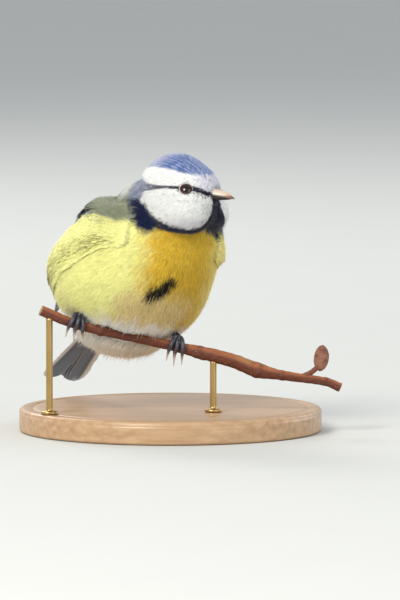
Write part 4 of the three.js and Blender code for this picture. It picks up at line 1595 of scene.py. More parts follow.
@dataclass
class Bill:
    """The short conical bill: an upper half with a ridge and nostrils, closed over a lower half."""

    root: Triple = (8.2, 0.0, 0.9)
    tip: Triple = (18.4, 0.0, 0.4)
    half_width: float = 2.3
    upper_depth: float = 2.5
    lower_depth: float = 1.5
    nostril: Triple = (12.4, 1.72, 2.2)
    nostril_reach: Triple = (0.62, 0.8, 0.34)
    nostril_depth: float = 0.4
    bristles: int = 90

    def half(self, up: int) -> Shape:
        """One half of the bill.

        Args:
            up: +1 for the upper half and -1 for the lower.

        Returns:
            The half in the row's frame.
        """
        depth = self.upper_depth if up > 0 else self.lower_depth
        reach = 1.0 if up > 0 else 0.93
        share = np.linspace(0, 1, 44) ** 0.8
        angle = np.linspace(0, math.pi, 25)
        root, tip = np.array(self.root), np.array(self.tip)
        middle = root + (tip - root) * (share * reach)[:, None]
        taper = np.maximum(1 - share**1.95, 0.0) ** 0.74
        wide = 0.06 + self.half_width * taper
        tall = 0.08 + depth * taper * (1.0 if up > 0 else 0.9)
        sag = 0.35 * share**2 if up > 0 else 0.0 * share
        ridge = 1 + 0.06 * np.exp(-(((angle - math.pi / 2) / 0.22) ** 2)) * up
        arch = np.stack([np.cos(angle) * np.abs(np.cos(angle)) ** 0.12, np.sin(angle) ** 0.92 * ridge], 1)
        edge = up * 0.1
        grid = np.stack(
            [
                np.repeat(middle[:, :1], 25, axis=1),
                wide[:, None] * arch[:, 0],
                (middle[:, 2] - sag)[:, None] + edge + up * tall[:, None] * arch[:, 1],
            ],
            -1,
        )
        inner = grid[:, ::-1].copy()
        inner[..., 2] = (middle[:, 2] - sag)[:, None] + edge + up * 0.12 * tall[:, None] * arch[::-1, 1]
        loop = np.concatenate([grid, inner[:, 1:-1]], 1)
        if up < 0:
            loop = loop[:, ::-1]
        shape = sheet_of(loop, closed=True)
        local = shape.points
        if up > 0:
            for sign in (1, -1):
                pit = (local - self.nostril * np.array([1, sign, 1])) / self.nostril_reach
                away = np.sqrt(pit[:, 0] ** 2 + pit[:, 1] ** 2 + pit[:, 2] ** 2)
                local[:, 1] -= sign * self.nostril_depth * step(1.0, 0.2, away)
        along = np.clip((local[:, 0] - root[0]) / (tip[0] - root[0]), 0, 1)
        height = (local[:, 2] - 0.9) / (depth * up)
        if up > 0:
            colour = mixed(Tone.HORN.light, Tone.HORN_RIDGE.light, step(0.5, 0.95, height))
            # Painted light: the orange tip stands for light shining through the horn.
            colour = mixed(colour, Tone.HORN_TIP_BACKLIT.light, step(0.62, 0.95, along) * 0.8)
            root_share = step(0.36, 0.12, along) * step(0.2, 0.8, height) * 0.8
            colour = mixed(colour, Tone.HORN_ROOT.light, root_share)
            colour = mixed(colour, Tone.HORN_EDGE.light, step(0.16, 0.02, height) * 0.8)
        else:
            # Painted light: the warm tip of the lower half stands for light shining through the horn.
            colour = mixed(Tone.LOWER_HORN.light, Tone.LOWER_HORN_TIP_BACKLIT.light, step(0.75, 1.0, along) * 0.8)
        shape.marks = colour
        shape.points = HEAD.out(local)
        return shape

    def bristle_tuft(self) -> Shape:
        """Fine bristles that lie forward over the nostrils."""
        rng = np.random.default_rng(SEED + 1)
        shapes = []
        for k in range(self.bristles):
            sign = 1 if k % 2 else -1
            angle = rng.uniform(0.25, 1.35)
            reach = rng.uniform(1.2, 2.3)
            radial = np.array([0.0, sign * math.cos(angle), math.sin(angle)])
            foot = np.array([9.6, 0, 0.9]) + radial * np.array([0, 2.35, 2.75])
            end = foot + np.array([reach, 0, 0]) + radial * rng.uniform(-0.25, 0.25)
            middle = (foot + end) / 2 + radial * 0.22
            across = np.array([0, -math.sin(angle) * sign, math.cos(angle)]) * 0.07
            waist = across * 0.8
            points = np.array([foot - across, foot + across, middle - waist, middle + waist, end])
            faces = np.array([[0, 1, 3], [0, 3, 2], [2, 3, 4]])
            tone = mixed(Tone.BRISTLE.light, Tone.BRISTLE_PALE.light, rng.uniform())
            bristle = Shape(HEAD.out(points), faces).coloured(tone)
            bristle.normals = np.repeat(HEAD.turned(radial)[None], 5, axis=0)
            shapes.append(bristle)
        return Shape.joined(shapes)

    def make(self) -> None:
        """Makes both halves and the bristles."""
        horn = HornFinish("bill_horn")
        piece("bill_upper_horn", self.half(1), horn, ("bill_upper",))
        piece("bill_lower_horn", self.half(-1), horn, ("bill_lower",))
        piece("nostril_bristles", self.bristle_tuft(), DownFinish("bristle"))


# Flight and tail feathers


@dataclass(frozen=True)
class Vane:
    """One flight, tail or covert feather: a thin cambered plate with a raised shaft and a frayed edge."""

    half_width: float
    shaft_at: float = 0.0
    tip_round: float = 0.32
    camber: float = 0.22
    thickness: float = 0.11
    shaft: float = 0.16
    rows: int = 22
    columns: int = 10
    fray: float = 0.05

    def shape(
        self,
        place: Course,
        paint: Spread,
        length: float,
        cell: tuple[float, float, float, float],
        rng: np.random.Generator,
    ) -> Shape:
        """The feather's closed body.

        Args:
            place: Gives points, side directions and normals at shares of the length.
            paint: Gives colours at shares across (-1 to 1) and along (0 to 1).
            length: The feather's length in millimetres.
            cell: Its rectangle on the bake map: low corner and size.
            rng: The seeded draw.

        Returns:
            The feather.
        """
        half = self.rows // 2
        share = np.concatenate([np.linspace(0, 0.7, half), 0.7 + 0.3 * np.linspace(0, 1, half + 1)[1:]])
        point, side, normal = place(share)
        to_tip = np.maximum(share - (1 - self.tip_round), 0) / self.tip_round
        rounded = np.sqrt(np.clip(1 - to_tip**2, 0.004, 1))
        wide = self.half_width * (0.42 + 0.58 * step(0.0, 0.45, share)) * rounded
        across = np.linspace(-1, 1, self.columns + 1)
        across = np.sign(across) * np.abs(across) ** 0.85
        notch = 1 + self.fray * rng.normal(size=(len(share), 2)).clip(-1.6, 1.0)
        reach = np.where(across[None, :] < 0, notch[:, :1], notch[:, 1:])
        u = across[None, :] * (1 + (reach - 1) * np.abs(across[None, :]) ** 3)
        shaft = self.shaft_at
        off = u * wide[:, None]
        arch = -self.camber * (u - shaft) ** 2 * rounded[:, None]
        ridge = self.shaft * np.exp(-(((u - shaft) / 0.09) ** 2)) * (1 - 0.6 * share[:, None])
        top = point[:, None] + side[:, None] * off[..., None] + normal[:, None] * (arch + ridge)[..., None]
        thin = self.thickness * (1 - 0.7 * np.abs(u) ** 2)
        under = top - normal[:, None] * (thin + ridge * 0.6)[..., None]
        loop = np.concatenate([top, under[:, ::-1]], 1)
        rows, columns = loop.shape[:2]
        shape = capped(sheet_of(loop, closed=True), (loop[0].mean(0), loop[-1].mean(0)), columns)
        both = np.concatenate([u, u[:, ::-1]], 1).ravel()
        both = np.append(both, [0.0, 0.0])
        along = np.append(np.repeat(share, columns), [0.0, 1.0])
        below = np.tile(np.arange(columns) >= columns // 2, rows)
        below = np.append(below, [False, False])
        colour = paint(both, along)
        colour = np.where(below[:, None], colour * 0.55 + 0.45 * colour.mean(1, keepdims=True) * 0.9, colour)
        shaft_tone = np.exp(-(((both - shaft) / 0.07) ** 2)) * 0.55
        shape.marks = mixed(colour, Web.SHAFT.light, shaft_tone)
        own = np.full(len(both), rng.uniform(0, 90))
        shape.grain = np.stack([both * self.half_width, along * length, own], -1)
        spread = np.where(below, 0.75 - 0.22 * both, 0.25 + 0.22 * both)
        shape.bake = np.stack([cell[0] + cell[2] * spread, cell[1] + cell[3] * along], -1)
        return shape


def edged(inner: Array, outer: Array, tip: Array, edge_from: float, tip_from: float) -> Spread:
    """A feather's paint: an inner tone, an outer edge on its +1 side and a tip.

    Args:
        inner: The web's colour.
        outer: The outer edge's colour.
        tip: The tip's colour.
        edge_from: The share across where the edge starts.
        tip_from: The share along where the tip starts.

    Returns:
        The paint.
    """

    def paint(u: Array, v: Array) -> Array:
        """Colours at shares across (-1 to 1) and along (0 to 1)."""
        colour = mixed(inner, outer, step(edge_from - 0.12, edge_from + 0.12, u))
        colour = mixed(colour, Web.FRAY.light, step(0.86, 0.97, np.abs(u)) * 0.35)
        return mixed(colour, tip, step(tip_from - 0.03, tip_from + 0.04, v + 0.03 * np.cos(3 * u)))

    return paint


@dataclass(frozen=True)
class Tier:
    """A tier of wing feathers: roots and tips spread evenly between two places on the wing's sheet."""

    count: int
    root: tuple[tuple[float, float], tuple[float, float]]
    tip: tuple[tuple[float, float], tuple[float, float]]
    half_width: float
    lift: float
    inner: Web
    outer: Web
    end: Web
    edge_from: float
    tip_from: float
    step_up: float = 0.12
    shaft_at: float = 0.25


TIERS = (
    # Primaries
    Tier(
        9, ((0.42, -0.55), (0.42, 0.05)), ((0.80, -0.92), (1.0, 0.2)), 1.9, 0.0,
        Web.SLATE, Web.PRIMARY_EDGE, Web.SLATE_END, 0.62, 0.97, 0.09, 0.45,
    ),
    # Secondaries
    Tier(
        6, ((0.36, -0.4), (0.36, 0.5)), ((0.79, -0.45), (0.72, 0.42)), 2.6, 0.6,
        Web.SLATE, Web.BLUE, Web.SECONDARY_END, 0.2, 0.955, 0.12, 0.35,
    ),
    # Tertials
    Tier(
        3, ((0.3, 0.3), (0.3, 0.82)), ((0.7, 0.42), (0.56, 0.88)), 2.9, 1.2,
        Web.TERTIAL, Web.TERTIAL_EDGE, Web.WHITE, 0.1, 0.9, 0.2, 0.2,
    ),
    # Primary coverts
    Tier(
        7, ((0.2, -0.75), (0.24, -0.35)), ((0.43, -0.97), (0.52, -0.55)), 1.35, 0.35,
        Web.PRIMARY_COVERT, Web.PRIMARY_COVERT_EDGE, Web.PRIMARY_COVERT_EDGE, 0.3, 2.0, 0.08, 0.3,
    ),
    # Greater coverts
    Tier(
        9, ((0.2, -0.55), (0.2, 0.82)), ((0.46, -0.6), (0.42, 0.86)), 1.9, 1.05,
        Web.GREATER_COVERT, Web.BLUE, Web.WHITE, 0.0, 0.82, 0.11, 0.2,
    ),
    # Median coverts
    Tier(
        8, ((0.1, -0.65), (0.1, 0.8)), ((0.28, -0.72), (0.26, 0.84)), 1.9, 1.45,
        Web.MEDIAN_COVERT, Web.BLUE_PALE, Web.MEDIAN_COVERT_END, 0.2, 0.86, 0.1, 0.0,
    ),
    # Lesser coverts, lower row
    Tier(
        8, ((0.03, -0.55), (0.03, 0.72)), ((0.17, -0.62), (0.16, 0.8)), 1.7, 1.75,
        Web.LESSER_COVERT, Web.BLUE_PALE, Web.LESSER_COVERT_END, 0.3, 0.84, 0.08, 0.0,
    ),
    # Lesser coverts, upper row
    Tier(
        6, ((-0.03, -0.4), (-0.03, 0.5)), ((0.10, -0.5), (0.09, 0.66)), 1.6, 1.15,
        Web.WRIST, Web.BLUE_PALE, Web.WRIST_END, 0.3, 0.84, 0.08, 0.0,
    ),
)


@dataclass
class Wing:
    """A closed wing: tiers of vanes on a bent sheet that lies on the body's side. Sign is +1 on the left."""

    sign: int
    line: tuple = ((8, 13.5, 14.5), (0, 14.5, 12), (-11, 14.5, 5.5), (-23, 11, -4.5), (-36, 6.5, -15))
    axis_from: Triple = (12, 0, 8)
    axis_to: Triple = (-36, 0, -24)
    half_widths: tuple[float, ...] = (4, 7.5, 8.5, 6.5, 2)
    round_: float = 18.0
    lift: float = 0.85
    sink: float = 0.5
    overlay_tufts: int = 3300
    overlay_height: tuple = ((-0.1, 0.6), (0.0, 1.6), (0.06, 2.4), (0.25, 2.3), (0.4, 1.9), (0.8, 0.9))
    share_per_mm: float = 0.0175
    flank_to: tuple = (
        (-0.1, 0.6), (0.0, 0.45), (0.1, 0.2), (0.25, -0.1), (0.5, -0.45), (0.62, -0.8), (0.72, -1.3),
    )
    shoulder_from: tuple = ((-0.1, 0.55), (0.0, 0.6), (0.2, 0.62), (0.38, 0.8), (0.5, 1.1))

    def sheet(self, s: Array, t: Array, height: Array) -> tuple[Array, Array]:
        """Places on the wing's sheet, in the body's frame.

        Args:
            s: Shares from the wrist to the tip.
            t: Shares from the lower edge (-1) to the upper.
            height: Heights over the body.

        Returns:
            Points and normals.
        """
        knots = np.array(self.line, float) * [1, self.sign, 1]
        curve = SmoothLine(knots)
        middle = curve.at(s) + np.minimum(s, 0)[:, None] * 40 * curve.tangent(np.maximum(s, 0))
        forward = curve.tangent(np.clip(s, 0, 1))
        start = np.array(self.axis_from, float)
        axis = unit(np.array(self.axis_to, float) - start)
        foot = start + ((middle - start) @ axis)[:, None] * axis
        outward = middle - foot
        normal = unit(outward - forward * (outward * forward).sum(1, keepdims=True))
        across = unit(np.cross(normal, forward) * self.sign)
        wide = np.interp(np.clip(s, 0, 1), np.linspace(0, 1, len(self.half_widths)), self.half_widths)
        bend = (t * wide / self.round_)[:, None]
        out = normal * np.cos(bend) + across * np.sin(bend)
        point = middle + across * self.round_ * np.sin(bend) + normal * self.round_ * (np.cos(bend) - 1)
        point = point + out * height[:, None]
        return TORSO_BLEND.lifted(point, self.lift + height), out

    def along(self, root: Array, tip: Array, lift: float) -> Course:
        """The line of one feather on the sheet, in the row's frame.

        Args:
            root: Its root's place on the sheet.
            tip: Its tip's place.
            lift: Its height.

        Returns:
            A function of the share along it that gives points, sides and normals.
        """

        def place(share: Array) -> tuple[Array, Array, Array]:
            """Points, sides and normals at shares of the length."""
            height = lift - self.sink * share
            here = root + (tip - root) * share[:, None]
            ahead = here + (tip - root) * 0.03
            point, normal = self.sheet(here[:, 0], here[:, 1], height)
            front, _ = self.sheet(ahead[:, 0], ahead[:, 1], height)
            way = unit(front - point)
            kernel = np.array([0.25, 0.5, 0.25])
            for _ in range(3):
                padded = np.vstack([way[:1], way, way[-1:]])
                way = unit(sum(kernel[k] * padded[k : k + len(way)] for k in range(3)))
                lined = np.vstack([2 * point[:1] - point[1:2], point, 2 * point[-1:] - point[-2:-1]])
                point = sum(kernel[k] * lined[k : k + len(point)] for k in range(3))
            side = unit(np.cross(normal, way))
            face = np.cross(way, side)
            side = side * -self.sign
            return BODY.out(point), BODY.turned(side), BODY.turned(face)

        return place

    def feathers(self) -> Shape:
        """All vanes of the wing."""
        rng = np.random.default_rng(SEED + 2)
        total = sum(tier.count for tier in TIERS)
        number = 0
        shapes = []
        for tier in TIERS:
            for i in range(tier.count):
                k = i / (tier.count - 1)
                root = np.array(tier.root[0]) * (1 - k) + np.array(tier.root[1]) * k
                tip = np.array(tier.tip[0]) * (1 - k) + np.array(tier.tip[1]) * k
                tone = 1 + 0.05 * rng.normal()
                inner, outer = tier.inner.light * tone, tier.outer.light * tone
                paint = edged(inner, outer, tier.end.light, tier.edge_from, tier.tip_from)
                vane = Vane(tier.half_width, tier.shaft_at)
                cell = (0.01 + 0.98 * number / total, 0.02, 0.96 / total, 0.96)
                lift = tier.lift + i * tier.step_up
                shapes.append(vane.shape(self.along(root, tip, lift), paint, 14.0, cell, rng))
                number += 1
        return Shape.joined(shapes)

    def overlay(self, skin: Skin, reach: float, rng: np.random.Generator) -> list[Array]:
        """Flank, breast and shoulder feathers that lie over the wing's edges.

        Args:
            skin: The form they rise from.
            reach: Their length.
            rng: The seeded draw.

        Returns:
            The same values as the coat keeps for its own tufts.
        """
        s = rng.uniform(-0.26, 0.74, self.overlay_tufts)
        t = rng.uniform(-1.7, 1.5, self.overlay_tufts)
        top = t > table(self.shoulder_from, s)
        keep = top | (t < table(self.flank_to, s))
        s, t, top = s[keep], t[keep], top[keep]
        length = reach * rng.uniform(0.86, 1.14, len(s))
        far = length * self.share_per_mm
        rise = np.where(top, -0.5, 0.9) * far
        out, up = [], []
        for share, above in ((0.0, 0.0), (0.5, 0.25), (1.0, 0.2)):
            here, across = s + share * far, t + share * rise
            point, normal = self.sheet(here, across, table(self.overlay_height, here) + above)
            point, normal = BODY.out(point), BODY.turned(normal)
            ground, ground_normal = skin.nearest(point)
            down = np.maximum(step(0.85, 1.5, np.abs(across)), step(0.02, -0.22, here))
            out.append(mixed(point, ground + (0.1 + above) * ground_normal, down))
            up.append(unit(mixed(normal, ground_normal, down)))
        drop = np.clip(BODY.into(out[0])[:, 2] + 4, 0, 12) * step(0.0, 0.35, s)
        fall = np.where(top, 5 * step(0.0, 0.35, s), -drop)
        drift = BODY.turned(np.stack([np.where(top, 0.0, 0.5 * drop), 0 * s, fall], 1))
        zero, depth = np.zeros(len(s)), np.full(len(s), 0.3)
        ways = unit(out[1] - out[0]), unit(out[2] - out[1])
        root, middle, tip = zip(out, up)
        return [*root, ways[0], length, *middle, ways[1], *tip, depth, zero, zero, drift]

    @staticmethod
    def cover(wings: "list[Wing]") -> tuple[list, list]:
        """The wings' upper surface as one coarse mesh for finding what lies under it.

        Args:
            wings: Both wings.

        Returns:
            Points and polygons.
        """
        points, faces = [], []
        s, t = np.meshgrid(np.linspace(0.0, 1.0, 28), np.linspace(-0.92, 0.92, 14), indexing="ij")
        for wing in wings:
            height = 1.9 - 1.4 * s.ravel()
            place, _ = wing.sheet(s.ravel(), t.ravel(), height)
            flat = sheet_of(BODY.out(place).reshape(28, 14, 3))
            faces += (flat.faces + len(points)).tolist()
            points += flat.points.tolist()
        return points, faces

    def make(self) -> None:
        """Makes the wing's piece."""
        side = "left" if self.sign > 0 else "right"
        piece(f"wing_{side}_feathers", self.feathers(), VaneFinish("vane"), (f"wing_{side}",))


@dataclass
class Tail:
    """Twelve tail feathers, the middle pair on top."""

    root: Triple = (-15.1, 1.5, 41.5)
    tip: Triple = (-34.8, 37.6, 13.4)
    pairs: int = 6
    fan: float = 5.2
    half_width: float = 2.9
    layer: float = 0.42
    sag: float = 1.6

    def along(
        self, line: Array, reach: float, side: Array, top: Array, layer: float
    ) -> Course:
        """The line of one feather, in the row's frame.

        Args:
            line: Its direction from root to tip.
            reach: Its length.
            side: The direction of its outer edge.
            top: The direction over the tail.
            layer: How far it lies under the middle pair.

        Returns:
            A function of the share along it that gives points, sides and normals.
        """

        def place(share: Array) -> tuple[Array, Array, Array]:
            """Points, sides and normals at shares of the length."""
            lift = -layer - self.sag * share * (1 - share)
            point = np.array(self.root) + line * (share * reach)[:, None] + top * lift[:, None]
            return point, np.repeat(side[None], len(share), 0), np.repeat(top[None], len(share), 0)

        return place

    def make(self) -> None:
        """Makes the tail's piece."""
        rng = np.random.default_rng(SEED + 3)
        root = np.array(self.root)
        out = np.array(self.tip) - root
        length = float(np.linalg.norm(out))
        out = out / length
        left = BODY.axes[:, 1]
        left = unit(left - out * (left @ out))
        top = np.cross(left, out)
        shapes = []
        for pair in range(self.pairs):
            for sign in (-1, 1):
                fan = math.radians(sign * self.fan * (pair + 0.5) / (self.pairs - 0.5))
                line = out * math.cos(fan) + left * math.sin(fan)
                side = (left * math.cos(fan) - out * math.sin(fan)) * sign
                layer = (pair + (0.5 if sign > 0 else 0)) * self.layer
                reach = length * (1 - 0.035 * abs(pair - 3.5) / 3.5)

                outermost = pair == self.pairs - 1
                outer = Web.TAIL_OUTER_EDGE if outermost else Web.TAIL_EDGE
                edge_from = 0.6 if outermost else 0.45
                paint = edged(Web.TAIL.light, outer.light, Web.TAIL_END.light, edge_from, 0.985)
                vane = Vane(self.half_width, 0.0 if pair == 0 else 0.3, tip_round=0.12, camber=0.3, rows=26)
                cell = (0.01 + 0.98 * len(shapes) / 12, 0.02, 0.08, 0.96)
                place = self.along(line, reach, side, top, layer)
                shapes.append(vane.shape(place, paint, length, cell, rng))
        piece("tail_feathers", Shape.joined(shapes), VaneFinish("vane"), ("tail",))


# Twig


@dataclass
class Twig:
    """The cut length of twig with its nodes, a scar, a side shoot and a bud."""

    y_at_zero: float = -17.4
    turn_degrees: float = 8.0
    line: tuple = (
        (-39, 38.6, 1.6), (-29, 34.4, 1.5), (-18.3, 31.7, 1.5), (-8, 29.3, 1.45),
        (2, 26.9, 1.5), (9, 25.2, 2.05), (19, 22.5, 2.15), (26, 19.7, 2.4),
        (33, 18.1, 1.5), (40.5, 16.9, 1.4), (47.5, 15.7, 1.3), (51.5, 14.0, 1.45),
    )
    spur_from: float = 36.5
    spur_rise: float = 6.5
    spur_reach: float = 10.5
    spur_radius: float = 0.8
    bud_radius: float = 2.3
    bud_length: float = 8.0
    bud_scales: int = 9
    scar_at: float = 21.5
    knots: tuple = (
        (-20.9, 1.35, 0.9), (8.5, 1.08, 1.6), (27.0, 1.12, 1.4), (34.0, 1.16, 0.8), (47.0, 1.15, 0.9),
    )

    @property
    def curve(self) -> SmoothLine:
        """The twig's middle line."""
        slope = math.tan(math.radians(self.turn_degrees))
        return SmoothLine(np.array([[x, self.y_at_zero + x * slope, z] for x, z, _ in self.line]))

    def at(self, x: Array) -> tuple[Array, Array, Array, Array, Array]:
        """Where the twig passes x.

        Args:
            x: Places along X.

        Returns:
            Points, radii, tangents, upward and frontward directions.
        """
        dense = np.linspace(0, 1, 4001)
        share = np.interp(np.atleast_1d(x), self.curve.at(dense)[:, 0], dense)
        tangent = self.curve.tangent(share)
        up = unit(np.array([0, 0, 1.0]) - tangent * tangent[:, 2:])
        front = -unit(np.cross(up, tangent))
        radius = np.interp(share, np.linspace(0, 1, len(self.line)), [r for _, _, r in self.line])
        return self.curve.at(share), radius, tangent, up, front

    def clear(self, points: Array) -> Array:
        """How far points are from the bark, or less than nothing where they would hang before it."""
        middle, radius, _, _, _ = self.at(points[:, 0])
        away = np.linalg.norm(points - middle, axis=1) - radius
        before = (points[:, 1] < middle[:, 1]) & (points[:, 2] < middle[:, 2] + radius) & (away < 5.0)
        return np.where(before, -1.0, away)

    def bark(self) -> Shape:
        """The twig's stem, with bark relief."""
        sides = 40
        x = np.linspace(self.line[0][0], self.line[-1][0], 420)
        point, radius, _, _, _ = self.at(x)

        def bulge(angle: Array, row: Array) -> Array:
            """The share of the radius at an angle and a row."""
            place = np.stack(np.broadcast_arrays(x[row] * 0.55, 1.4 * np.cos(angle), 1.4 * np.sin(angle)), -1)
            relief = 0.035 * ripple(place, 1.6, 41) + 0.03 * ripple(place * [0.4, 3.2, 3.2], 2.4, 42)
            knot = sum((size - 1) * np.exp(-(((x[row] - at) / width) ** 2)) for at, size, width in self.knots)
            lean = 1 + 0.25 * np.cos(angle - 1.2)
            return 0.96 + relief + 0.55 * knot * lean

        shape = tube_of(point, radius, sides, bulge)
        local = np.append(np.repeat(x, sides), [x[0], x[-1]])
        up = shape.points - np.append(np.repeat(point, sides, axis=0), point[[0, -1]], axis=0)
        # Painted light: the bark is painted bright along its top and in shade below. The scar, a real mark,
        # shows only where the top is painted lit.
        lit = step(0.1, 1.2, up[:, 2])
        tone = mixed(Tone.BARK_SHADE.light, Tone.BARK_LIT_TOP.light, lit * 0.8)
        scar = step(3.5, 1.0, np.abs(local - self.scar_at)) * 0.35
        tone = mixed(tone, Tone.BARK_SCAR.light, scar * lit)
        patchy = step(-0.3, 0.5, ripple(shape.points, 1.1, 44) + 0.5)
        for at, _, width in self.knots:
            ring = np.exp(-(((local - at) / (0.55 * width)) ** 2)) * patchy
            tone = mixed(tone, Tone.BARK_RING.light, ring * 0.7)
        ends = (local <= x[0]) | (local >= x[-1])
        shape.marks = np.where(ends[:, None], Tone.CUT_WOOD.light, tone)
        return shape

    def shoot(self) -> Shape:
        """The side shoot and its bud with overlapping scales."""
        point, _, tangent, _, _ = self.at(self.spur_from)
        across = unit(np.array([tangent[0, 0], tangent[0, 1], 0.0]))
        turn_ = np.linspace(0, 0.5 * math.pi, 30)
        line = point + across * (self.spur_reach * 0.9 * np.sin(turn_))[:, None]
        line[:, 2] += self.spur_rise * (1 - np.cos(turn_)) - 0.4

        def ring(angle: Array, row: Array) -> Array:
            """The share of the radius at an angle and a row."""
            return 1 + 0.05 * np.sin(row * 2.1) + 0.03 * np.cos(3 * angle + row)

        stem = tube_of(line, np.full(30, self.spur_radius), 20, ring).coloured(Tone.SHOOT.light)
        bud_turn = 0.4375 * math.pi
        base = point[0] + across * self.spur_reach * 0.9 * math.sin(bud_turn)
        base[2] += self.spur_rise * (1 - math.cos(bud_turn)) - 0.4
        up = unit(np.array([0.12, 0, 1.0]))
        core = np.linspace(0, 1, 30)
        swell = self.bud_radius * np.sqrt(np.maximum(1 - (2 * core - 1) ** 2, 0.01))
        heart = tube_of(base + up * ((core - 0.42) * self.bud_length)[:, None], swell * 0.86, 28)
        heart.coloured(Tone.BUD_HEART.light)
        return Shape.joined([stem, heart, *(self.scale(base, up, k) for k in range(self.bud_scales))])

    def scale(self, base: Array, up: Array, number: int) -> Shape:
        """One bud scale.

        Args:
            base: The bud's middle.
            up: The bud's long direction.
            number: Its number from the bottom.

        Returns:
            The scale.
        """
        side = unit(np.cross(up, np.array([0.2, 1.0, 0.1])))
        other = np.cross(up, side)
        start = number * 2.4
        low, high = 0.04 + 0.052 * number, min(0.42 + 0.075 * number, 0.985)
        v = np.linspace(0, 1, 14)
        u = np.linspace(-1, 1, 11)
        height = low + (high - low) * v
        swell = self.bud_radius * np.sqrt(np.maximum(1 - (2 * height - 1) ** 2, 0.012))
        width = 1.15 * np.sqrt(np.maximum(1 - v**2.4, 0.01))
        angle = start + u[None, :] * width[:, None]
        puff = 0.94 + 0.05 * (1 - u[None, :] ** 2) + 0.02 * v[:, None]
        reach = swell[:, None] * puff
        grid = base + up * ((height - 0.42) * self.bud_length)[:, None, None]
        grid = grid + reach[..., None] * (np.cos(angle)[..., None] * side + np.sin(angle)[..., None] * other)
        inner = grid - 0.14 * (np.cos(angle)[..., None] * side + np.sin(angle)[..., None] * other)
        shape = sheet_of(np.concatenate([grid, inner[:, ::-1]], 1), closed=True)
        edge = np.concatenate([np.repeat(v[:, None], 11, 1)] * 2, 1).ravel()
        tone = mixed(Tone.BUD_SCALE.light, Tone.BUD_SCALE_EDGE.light, step(0.55, 1.0, edge))
        shape.marks = tone * (1 + 0.1 * ripple(shape.points, 1.2, 50 + number))[:, None]
        return shape

    def make(self) -> None:
        """Makes the twig's piece."""
        whole = Shape.joined([self.bark(), self.shoot()])
        piece("twig_bark", whole, BarkFinish("twig_skin"), ("perch",))


# Feet


def scuted(saw: Array, height: float) -> Spread:
    """The overlap of scutes along a toe or a shank.

    Args:
        saw: Where each row lies in its scute, from 0 to 1.
        height: How far the scutes rise, as a share of the radius. Less than nothing turns them round.

    Returns:
        A function of angles and row numbers that gives shares of the radius.
    """

    def bulge(facing: Array, row: Array) -> Array:
        """The share of the radius at an angle and a row."""
        return 1 + height * (saw[row] - 0.5) * (0.6 + 0.4 * np.cos(facing))

    return bulge


@dataclass
class Foot:
    """A perching foot: three toes before the twig and one behind, each with scutes and a curved claw."""

    side: str
    x: float
    toe_radius: float = 0.78
    spread: float = 2.0
    ball_angle: float = 112.0
    ball_radius: float = 1.35
    front_end: float = -28.0
    hind_end: float = 205.0
    claw: float = 3.4
    hind_claw: float = 4.6
    tarsus: float = 7.0
    toe_scutes: float = 9.0
    shank_scutes: float = 7.0

    def around(self, twig: Twig, shift: Array, angle: Array, clearance: Array) -> Array:
        """Places round the twig.

        Args:
            twig: The twig.
            shift: Shifts along X from the foot.
            angle: Angles from the front over the top, in radians.
            clearance: Distances over the bark.

        Returns:
            Points.
        """
        point, radius, _, up, front = twig.at(self.x + shift)
        reach = (radius + clearance)[:, None]
        return point + front * reach * np.cos(angle)[:, None] + up * reach * np.sin(angle)[:, None]

    def toe(self, twig: Twig, spread: float, end: float, claw: float) -> tuple[Shape, Shape]:
        """A toe and its claw.

        Args:
            twig: The twig.
            spread: How far it splays along the twig.
            end: The angle where the toe ends.
            claw: The claw's length.

        Returns:
            The toe and the claw.
        """
        s = np.linspace(0, 1, 70)
        angle = np.radians(self.ball_angle + (end - self.ball_angle) * s)
        line = self.around(twig, spread * np.sqrt(s + 1e-6), angle, self.toe_radius + GAP + (1 - s) * 0.35)
        pads = 0.05 * np.abs(np.sin(s * math.pi * 3.0))
        radii = self.toe_radius * (0.97 - 0.26 * s + pads)
        saw = (s * self.toe_scutes) % 1.0
        toe = tube_of(line, radii, 20, scuted(saw, 0.075))
        groove = np.append(np.repeat(step(0.16, 0.0, saw) + step(0.86, 1.0, saw), 20), [0, 0])
        shade = ripple(toe.points, 1.3, 61)
        tone = mixed(Tone.TOE.light, Tone.TOE_PALE.light, 0.5 + 0.5 * shade)
        toe.marks = mixed(tone, Tone.TOE_GROOVE.light, 0.6 * groove)
        out = unit(line[-1] - line[-3])
        k = np.linspace(0, 1, 26)[:, None]
        path = line[-1] - out * 0.3 + out * (claw * 0.66 * k) + np.array([0, 0, -1.0]) * (claw * 0.55 * k**2)
        thick = 0.56 * np.maximum(1 - k[:, 0], 0.0) ** 0.66 + 0.045
        nail = tube_of(path, thick, 16)
        pale = np.append(np.repeat(k[:, 0], 16), [0, 1])
        nail.marks = mixed(Tone.CLAW.light, Tone.CLAW_TIP.light, step(0.1, 0.85, pale))
        return toe, nail

    def make(self, twig: Twig) -> None:
        """Makes the foot's pieces."""
        parts = [self.toe(twig, k * self.spread, self.front_end, self.claw) for k in (-1, 0, 1)]
        parts.append(self.toe(twig, 0.3, self.hind_end, self.hind_claw))
        angle = np.radians([self.ball_angle])
        ball = self.around(twig, np.zeros(1), angle, np.array([self.toe_radius + GAP + 0.45]))[0]
        top = ball + unit(BODY.origin - ball) * self.tarsus
        s = np.linspace(0, 1, 40)
        shank_line = ball + (top - ball) * s[:, None]
        saw = (s * self.shank_scutes) % 1.0
        shank = tube_of(shank_line, 0.98 - 0.45 * s * (1 - s), 20, scuted(saw, -0.06))
        pad = ball_of(self.ball_radius, 21, 24)
        pad.points = pad.points * (1 + 0.05 * ripple(pad.points, 0.9, 63))[:, None] + ball
        for extra in (shank, pad):
            shade = ripple(extra.points, 1.2, 62)
            extra.marks = mixed(Tone.TOE.light, Tone.SHANK_PALE.light, 0.5 + 0.5 * shade)
        toes = Shape.joined([toe for toe, _ in parts] + [shank, pad])
        claws = Shape.joined([nail for _, nail in parts])
        piece(f"foot_{self.side}_scutes", toes, ScuteFinish("toe_scutes"), (f"leg_{self.side}",))
        piece(f"foot_{self.side}_claws", claws, HornFinish("claw_horn", roughness=0.25))


# Stand


